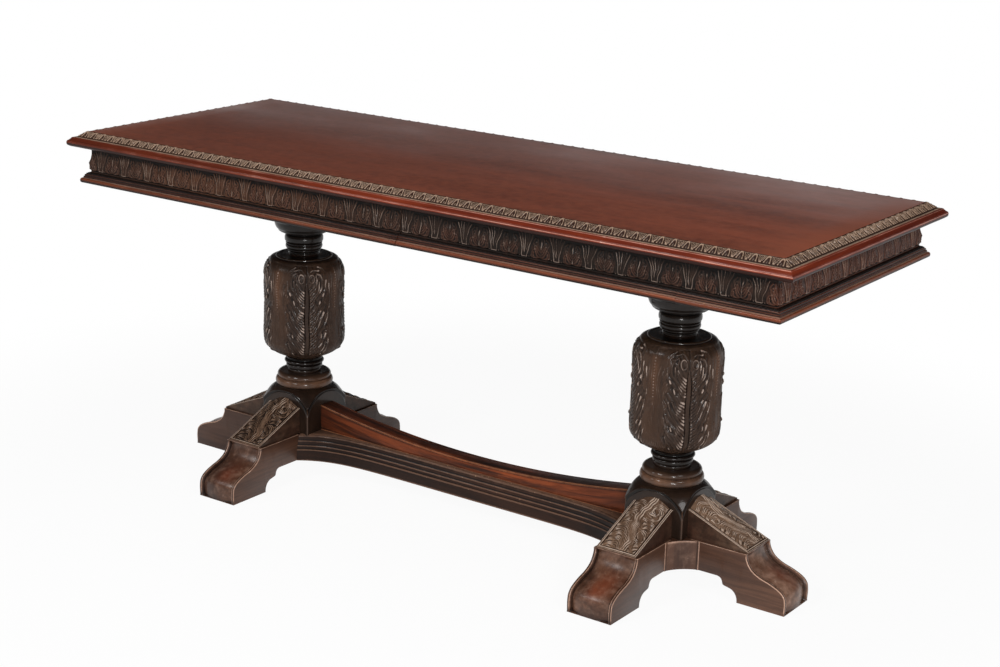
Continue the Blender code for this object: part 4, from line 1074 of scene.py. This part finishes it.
def carvedBracket(hand, place, centre, turn, offset):
    # Wedge from the toe up to the block: the panel's crown is the sine of the way across and
    # grows towards the block, a border of fillet, groove and bead follows three sides, and the
    # leaf stands on the panel. Two straight walls close it below.
    look = bracketLook
    node = "bracket_%s_%s" % (hand, place)
    low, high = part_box(node)
    half = min(high.x - low.x, high.y - low.y) / 2
    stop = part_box("centre_block_" + hand)[1].y + seatGap
    bottom = low.z
    length = math.hypot(look["nose"] - stop, look["head"] - bottom - look["toe"])
    share = np.linspace(0, 1, int(length / look["spacing"]))[:, None]
    across = np.linspace(-half, half, int(2 * half / look["spacing"]))[None]
    panel = half - look["border"]
    climb = look["head"] - bottom - look["toe"]
    level = bottom + look["toe"] + climb * share + 0 * across
    crown = look["crown"] * share * np.sin(math.pi * np.clip((across + panel) / (2 * panel), 0, 1))
    edge = np.minimum(half - np.abs(across), share * length + 0.0003) * toMm
    border = np.interp(edge, *zip(*look["edging"])) / toMm
    leaf, stem = scrollingLeaf(across * toMm, share * length * toMm)
    onPanel = smoothStep(edge, 6.6, 8.2)
    lift = np.where(edge < 6.9, border, onPanel * leaf * look["lift"] - look["ground"])
    level = np.maximum(level + crown + lift, bottom + 0.0004)
    reach = look["nose"] + (stop - look["nose"]) * share + 0 * across
    surface = np.stack([across + 0 * share, -reach, level], axis=2)
    down = np.array(look["wallSteps"])
    walls = []
    for rim, order in ((surface[:, -1:], down), (surface[:, :1], down[::-1])):
        wall = np.repeat(rim, len(down), axis=1)
        wall[..., 2] += (bottom - rim[..., 2]) * order
        walls.append(wall)
    grid = np.concatenate([surface, *walls], axis=1)
    grain = np.stack([-grid[..., 1] + offset, grid[..., 0], grid[..., 2] + 0.5 * offset], axis=2)
    onWall = np.concatenate([0 * lift, 1 + 0 * lift[:, :2 * len(down)]], axis=1)
    # Painted highlights on the border's arrises and painted shade in its grooves
    lines = 0.4 * ridge(edge - 0.7, 0.6) - 0.5 * ridge(edge - 2.0, 0.6) \
        + 0.3 * ridge(edge - 3.8, 0.8) - 0.45 * ridge(edge - 6.0, 0.7)
    # Painted light: the stem and the upper right of the panel lighter, the left pedestal's
    # brackets darker and the outer ones lighter
    light = onPanel * (0.16 * stem + 0.1 * smoothStep(share, 0.5, 0.9) * (across > 0) - 0.06) \
        - 0.24 * (hand == "left") + 0.08 * (place == "outer")
    # the walls darker and redder than the panel
    shade = np.concatenate([lines + light, -0.22 + 0 * lift[:, :2 * len(down)]], axis=1)
    addToPedestal("carvedBracket", grid, "carved_bracket", node, hand, place, centre, turn,
                  place=grain, wear=(3, 0.0009 + onWall), sharp=50, shade=shade, rubbed=onWall)


cornerLook = {
    "reach": 0.0985, "sag": 0.1, "fillet": 0.0032, "step": 0.0012, "arris": 0.001, "across": 61,
    "upright": 14}


def hollowCorner(hand, place, centre, turn, offset):
    # Plan outline of the corner piece carried upwards: the front is a shallow parabola between
    # two narrow fillets, and its top arris is eased
    look = cornerLook
    node = "infill_%s_%s" % (hand, place)
    low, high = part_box(node)
    footLow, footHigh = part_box("foot_%s_front" % hand)
    side = (footHigh.x - footLow.x) / 2 + seatGap
    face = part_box("centre_block_" + hand)[1].y + seatGap
    first, last = np.array([look["reach"], -side]), np.array([side, -look["reach"]])
    width = np.linalg.norm(last - first)
    share = np.linspace(0, 1, look["across"])[:, None]
    fromEnd = np.minimum(share, 1 - share) * width
    sag = width * look["sag"] * 4 * share * (1 - share) \
        + look["step"] * smoothStep(fromEnd, look["fillet"], look["fillet"] + 0.0006)
    front = first + (last - first) * share + sag * (-math.sqrt(0.5), math.sqrt(0.5))
    plan = np.vstack([[(side, -face), (face, -face), (face, -side)], front])
    normal = sectionNormals(plan)
    onFront = np.concatenate([[0, 0, 0], smoothStep(fromEnd[:, 0], 0, 0.004)])
    angle = np.linspace(0, quarterTurn, 6)
    levels = np.linspace(low.z, high.z - look["arris"], look["upright"])[:-1]
    draw = np.concatenate([0 * levels, look["arris"] * (1 - np.cos(angle))])[:, None]
    levels = np.concatenate([levels, high.z - look["arris"] * (1 - np.sin(angle))])
    out = plan[:, 0] - draw * normal[:, 0] * onFront
    along = plan[:, 1] - draw * normal[:, 1] * onFront
    grid = np.stack([out, along, levels[:, None] + 0 * out], axis=2)
    grain = np.stack([grid[..., 2], out + offset, along - offset], axis=2)
    fromSide = np.concatenate([[9, 9, 9], fromEnd[:, 0] * toMm])
    # Painted highlights on the top arris and the fillets, painted shade in the line between each
    # fillet and the hollow, and the whole face painted a little lighter
    shade = 0.2 * ridge((high.z - levels[:, None]) * toMm - 0.8, 0.8) * onFront \
        + 0.16 * ridge(fromSide - 1.2, 0.9) - 0.4 * ridge(fromSide - 3.6, 1.0) + 0.07
    addToPedestal("hollowCorner", grid, "foot_mahogany", node, hand, place, centre, turn,
                  place=grain, wear=(1, 0.0008), sharp=40, shade=shade)


def pedestal(hand, side):
    # Column and block on three feet; the stretcher takes the block's fourth side
    low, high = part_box("column_drum_" + hand)
    centre = (low.x + high.x) / 2
    offset = 0.4 + 0.9 * side  # another stretch of grain for each pedestal
    turnings(hand, centre, offset)
    carvedDrum(hand, centre, offset)
    centreBlock(hand, centre, offset)
    for k, (place, turn) in enumerate({"front": 0.0, "back": math.pi,
                                       "outer": side * quarterTurn}.items()):
        ogeeFoot(hand, place, centre, turn, offset + 1.7 * k)
        carvedBracket(hand, place, centre, turn, offset + 1.3 * k)
    corners = {"front": 0.0, "back": quarterTurn} if side > 0 \
        else {"front": -quarterTurn, "back": math.pi}
    for place, turn in corners.items():
        hollowCorner(hand, place, centre, turn, offset)
    print("pedestal set:", hand)


pedestal("left", -1)
pedestal("right", 1)


# Stretcher

boardLook = {
    "waist": 0.067, "flare": 0.167, "face": 0.0265, "inset": 0.011, "flareRun": 0.4292, "power": 7,
    "stations": 220, "upright": 14, "spacing": 0.0009, "arris": 0.0006, "topStep": 0.012,
    "reeds": ((0.0, 0.0, 1), (0.13, 0.02, 1), (0.14, 0.14), (0.2, 0.26), (0.3, 0.3),
        (0.33, 0.335, 1), (0.35, 0.46), (0.41, 0.57), (0.51, 0.62), (0.54, 0.655, 1), (0.56, 0.78),
        (0.64, 0.9), (0.78, 0.955), (1.0, 1.0, 1))}


def mouldedBoard():
    # Half-width = waist / 2, plus the flare times (nearness to the foot) to the power 7. The edge
    # section rides on that half-width, with three reeds over a plain face.
    look = boardLook
    low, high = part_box("stretcher_board")
    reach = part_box("foot_right_front")[0].x - seatGap
    x = reach * np.sin(np.linspace(-quarterTurn, quarterTurn, look["stations"]))[:, None]
    near = np.clip(1 - (reach - np.abs(x)) / look["flareRun"], 0, None)
    halfWidth = (look["waist"] + (look["flare"] - look["waist"]) * near ** look["power"]) / 2
    faceTop = low.z + look["face"]
    reeds = profileLine(look["reeds"], look["inset"], high.z - faceTop, look["spacing"])
    face = np.linspace((0.0, low.z + look["arris"]), (0.0, faceTop), look["upright"])
    edge = np.vstack([[(look["arris"], low.z)], face, reeds[1:] + (0, faceTop)])
    edge = np.vstack([edge, (edge[-1, 0] + look["topStep"], high.z)])
    y = np.concatenate([halfWidth - edge[:, 0], -(halfWidth - edge[::-1, 0])], axis=1)
    z = np.concatenate([edge[:, 1], edge[::-1, 1]]) + 0 * y
    grid = np.stack([x + 0 * y, y, z], axis=2)
    fromEdge = np.concatenate([edge[:, 0], -edge[::-1, 0]]) + 0 * y
    addPiece("reededBoard", grid, "stretcher_board", "table", ["stretcher_board"],
             place=np.stack([x + 0 * y, fromEdge * 2, z], axis=2), wear=(2, 0.0002), sharp=36)


railLook = {
    "thickness": 0.042, "waistRise": 0.0215, "endRise": 0.058, "stations": 160, "upright": 26,
    "swell": 0.0012, "groove": (0.06, 0.05, 0.001), "bead": 0.004,
    "top": ((0.0015, -0.0006), (0.0021, -0.0015), (0.0029, -0.0015), (0.0035, -0.0006),
        (0.0095, 0.0))}


def saggingRail():
    # Top level = waist + (end - waist) * share^2. The flank swells as the sine of the way up and
    # has a groove at its foot, and a bead and a groove run along each top arris.
    look = railLook
    low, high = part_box("stretcher_rail")
    share = np.linspace(-1, 1, look["stations"])[:, None]
    top = low.z + look["waistRise"] + (look["endRise"] - look["waistRise"]) * share ** 2
    half = look["thickness"] / 2
    up = np.linspace(0, 1, look["upright"])
    at, width, depth = look["groove"]
    flank = half - look["swell"] + look["swell"] * np.sin(math.pi * up) \
        - depth * ridge(up - at, width)
    flankTop = top - look["bead"]
    turn = np.linspace(-quarterTurn, quarterTurn, 9)[1:]
    radius = look["bead"] / 2
    inward, drop = np.array(look["top"]).T
    y = np.concatenate([flank, half - radius + radius * np.cos(turn), half - radius - inward])
    z = np.concatenate([low.z + (flankTop - low.z) * up,
                        flankTop + radius + radius * np.sin(turn), top + drop], axis=1)
    y, z = np.concatenate([y, -y[::-1]]) + 0 * share, np.concatenate([z, z[:, ::-1]], axis=1)
    grid = np.stack([high.x * share + 0 * y, y, z], axis=2)
    flow = np.stack([grid[..., 0], y, z - top], axis=2)  # grain bends with the sag
    # A painted highlight along each bead, and the top darker
    onTop = smoothStep(half - np.abs(y), 0.0004, 0.0016) * (z > top - 0.006)
    shade = -0.4 * onTop + 0.5 * ridge(half - np.abs(y) - 0.0012, 0.0008) * (z > top - 0.004)
    addPiece("saggingRail", grid, "stretcher_rail", "table", ["stretcher_rail"], place=flow,
             wear=(1, 0.0006), sharp=36, shade=shade)


mouldedBoard()
saggingRail()
print("stretcher fitted")


# Drawer box and underframe

drawerBoxLook = {"arris": 0.0008, "stations": 20}
for boardName in ("drawer_side_left", "drawer_side_right", "drawer_back", "drawer_bottom"):
    low, high = (np.array(corner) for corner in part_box(boardName))
    sideways = boardName.startswith("drawer_side")
    if sideways:  # made along x, then turned to lie along y
        low, high = np.array([low[1], -high[0], low[2]]), np.array([high[1], -low[0], high[2]])
    board = softBoard(low, high, drawerBoxLook["arris"], drawerBoxLook["stations"])
    addPiece("oak" + boardName.title().replace("_", ""),
             turnedBy(board, quarterTurn) if sideways else board, "drawer_oak", "drawer",
             [boardName], place=board + 0.31 * len(boardName), wear=(2, 0.0004))
for nodeName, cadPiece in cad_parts.items():
    if cadPiece.data.materials and nodeName.startswith(("underframe", "bearer", "drawer_guide",
                                                        "drawer_stop")):
        for slotIndex in range(len(cadPiece.data.materials)):
            cadPiece.material_slots[slotIndex].material = finishes["frame_pine"]
print("drawer and underframe dressed")


# Floor, lights and camera

studioLook = {
    "floorHalf": 90.0, "wallHeight": 12.0, "floorColour": (236, 236, 236), "shadowShare": 0.06,
    "shadowNear": 1.0, "shadowFar": 1.9, "worldColour": (58, 58, 60),
    "lamps": (("keyLamp", (2.5, -3.1, 1.9), (0, 0, 0.5), 0.8, 0.8, 14),
        ("sparkLamp", (2.9, -3.3, 0.95), (0.2, 0, 0.4), 1.0, 0.4, 86),
        ("frontLamp", (-0.6, -2.55, 2.3), (0.3, 0, 0.1), 0.8, 0.8, 42),
        ("leftLamp", (-2.2, -2.4, 2.1), (0.0, 0, 0.2), 0.7, 0.7, 15),
        ("rightLamp", (2.6, -0.9, 2.2), (0.5, 0, 0.2), 1.0, 1.0, 24),
        ("overheadLamp", (0.2, 0.3, 3.6), (0, 0, 0), 2.2, 2.2, 20))}


def whiteFloor():
    # Pale floor with far walls that shows white, with a share of its own lit surface mixed in
    # near the table for the shadow
    look = studioLook
    half = look["floorHalf"]
    corners = [(-half, -half), (half, -half), (half, half), (-half, half)]
    mesh = bpy.data.meshes.new("studioFloor")
    mesh.from_pydata([(x, y, z) for z in (0, look["wallHeight"]) for x, y in corners], [],
                     [(0, 1, 2, 3), (1, 0, 4, 5), (2, 1, 5, 6), (3, 2, 6, 7), (0, 3, 7, 4)])
    floor = bpy.data.objects.new("studioFloor", mesh)
    bpy.context.scene.collection.objects.link(floor)
    finish = bpy.data.materials.new("floorPaint")
    finish.use_nodes = True
    tree = finish.node_tree
    shader = tree.nodes["Principled BSDF"]
    shader.inputs["Base Color"].default_value = paint(*look["floorColour"])
    shader.inputs["Roughness"].default_value = 0.9
    shader.inputs["Specular IOR Level"].default_value = 0.0
    rays = put(tree, "ShaderNodeLightPath").outputs
    seen = sums(tree, "MAXIMUM", rays["Is Camera Ray"], rays["Is Glossy Ray"])
    seen = sums(tree, "MAXIMUM", seen, rays["Is Transmission Ray"])
    place = put(tree, "ShaderNodeTexCoord").outputs["Object"]
    away = put(tree, "ShaderNodeVectorMath", {0: place}, operation="LENGTH").outputs["Value"]
    white = spread(tree, away, look["shadowNear"], look["shadowFar"], 1 - look["shadowShare"], 1.0)
    white = sums(tree, "MULTIPLY", seen, white)
    glow = put(tree, "ShaderNodeEmission", {"Color": (1, 1, 1, 1), "Strength": 1.0})
    mix = put(tree, "ShaderNodeMixShader", {0: white, 1: shader.outputs[0], 2: glow.outputs[0]})
    tree.links.new(mix.outputs[0], tree.nodes["Material Output"].inputs["Surface"])
    mesh.materials.append(finish)


def setUp(name, data, place, right, up, back):
    # New lamp or camera whose own axes are the three directions
    thing = bpy.data.objects.new(name, data)
    bpy.context.scene.collection.objects.link(thing)
    turn = Matrix(np.stack([right, up, back], axis=1).tolist())
    thing.matrix_world = Matrix.Translation(place) @ turn.to_4x4()
    return thing


def softBox(name, place, aim, width, height, power):
    # Oval area lamp that looks from its place towards the aim
    lamp = bpy.data.lights.new(name, "AREA")
    lamp.shape, lamp.size, lamp.size_y, lamp.energy = "ELLIPSE", width, height, power
    back = np.subtract(place, aim) / np.linalg.norm(np.subtract(place, aim))
    side = np.cross((0, 0, 1), back)
    side /= np.linalg.norm(side)
    setUp(name, lamp, place, side, np.cross(back, side), back)


def studio():
    # A dim world, the white floor, and the lamps of the table
    whiteFloor()
    world = bpy.data.worlds.new("studioAir")
    world.use_nodes = True
    world.node_tree.nodes["Background"].inputs["Color"].default_value = paint(
        *studioLook["worldColour"])
    bpy.context.scene.world = world
    for lamp in studioLook["lamps"]:
        softBox(*lamp)


cameraLook = {
    "place": (2.2367, -3.1147, 1.5383), "yaw": 0.611, "pitch": -0.2874, "roll": 0.0277,
    "focalPixels": 1917.888, "picturePixels": 1000, "sensorWidth": 36.0, "clipEnd": 400.0}


def photoCamera():
    # Its axes are right, up and minus forward, from yaw and pitch, then rolled. The lens in mm is
    # the focal length in pixels times the sensor's width over the picture's.
    look = cameraLook
    yaw, pitch, roll = look["yaw"], look["pitch"], look["roll"]
    forward = np.array([-math.sin(yaw) * math.cos(pitch), math.cos(yaw) * math.cos(pitch),
                        math.sin(pitch)])
    right = np.array([math.cos(yaw), math.sin(yaw), 0.0])
    up = np.cross(right, forward)
    camera = bpy.data.cameras.new("photoCamera")
    camera.sensor_width = look["sensorWidth"]
    camera.lens = look["focalPixels"] * camera.sensor_width / look["picturePixels"]
    camera.clip_end = look["clipEnd"]
    bpy.context.scene.camera = setUp("photoCamera", camera, look["place"],
                                     math.cos(roll) * right + math.sin(roll) * up,
                                     math.cos(roll) * up - math.sin(roll) * right, -forward)


studio()
photoCamera()
bpy.context.scene.view_settings.view_transform = "Standard"
print("studio lit")
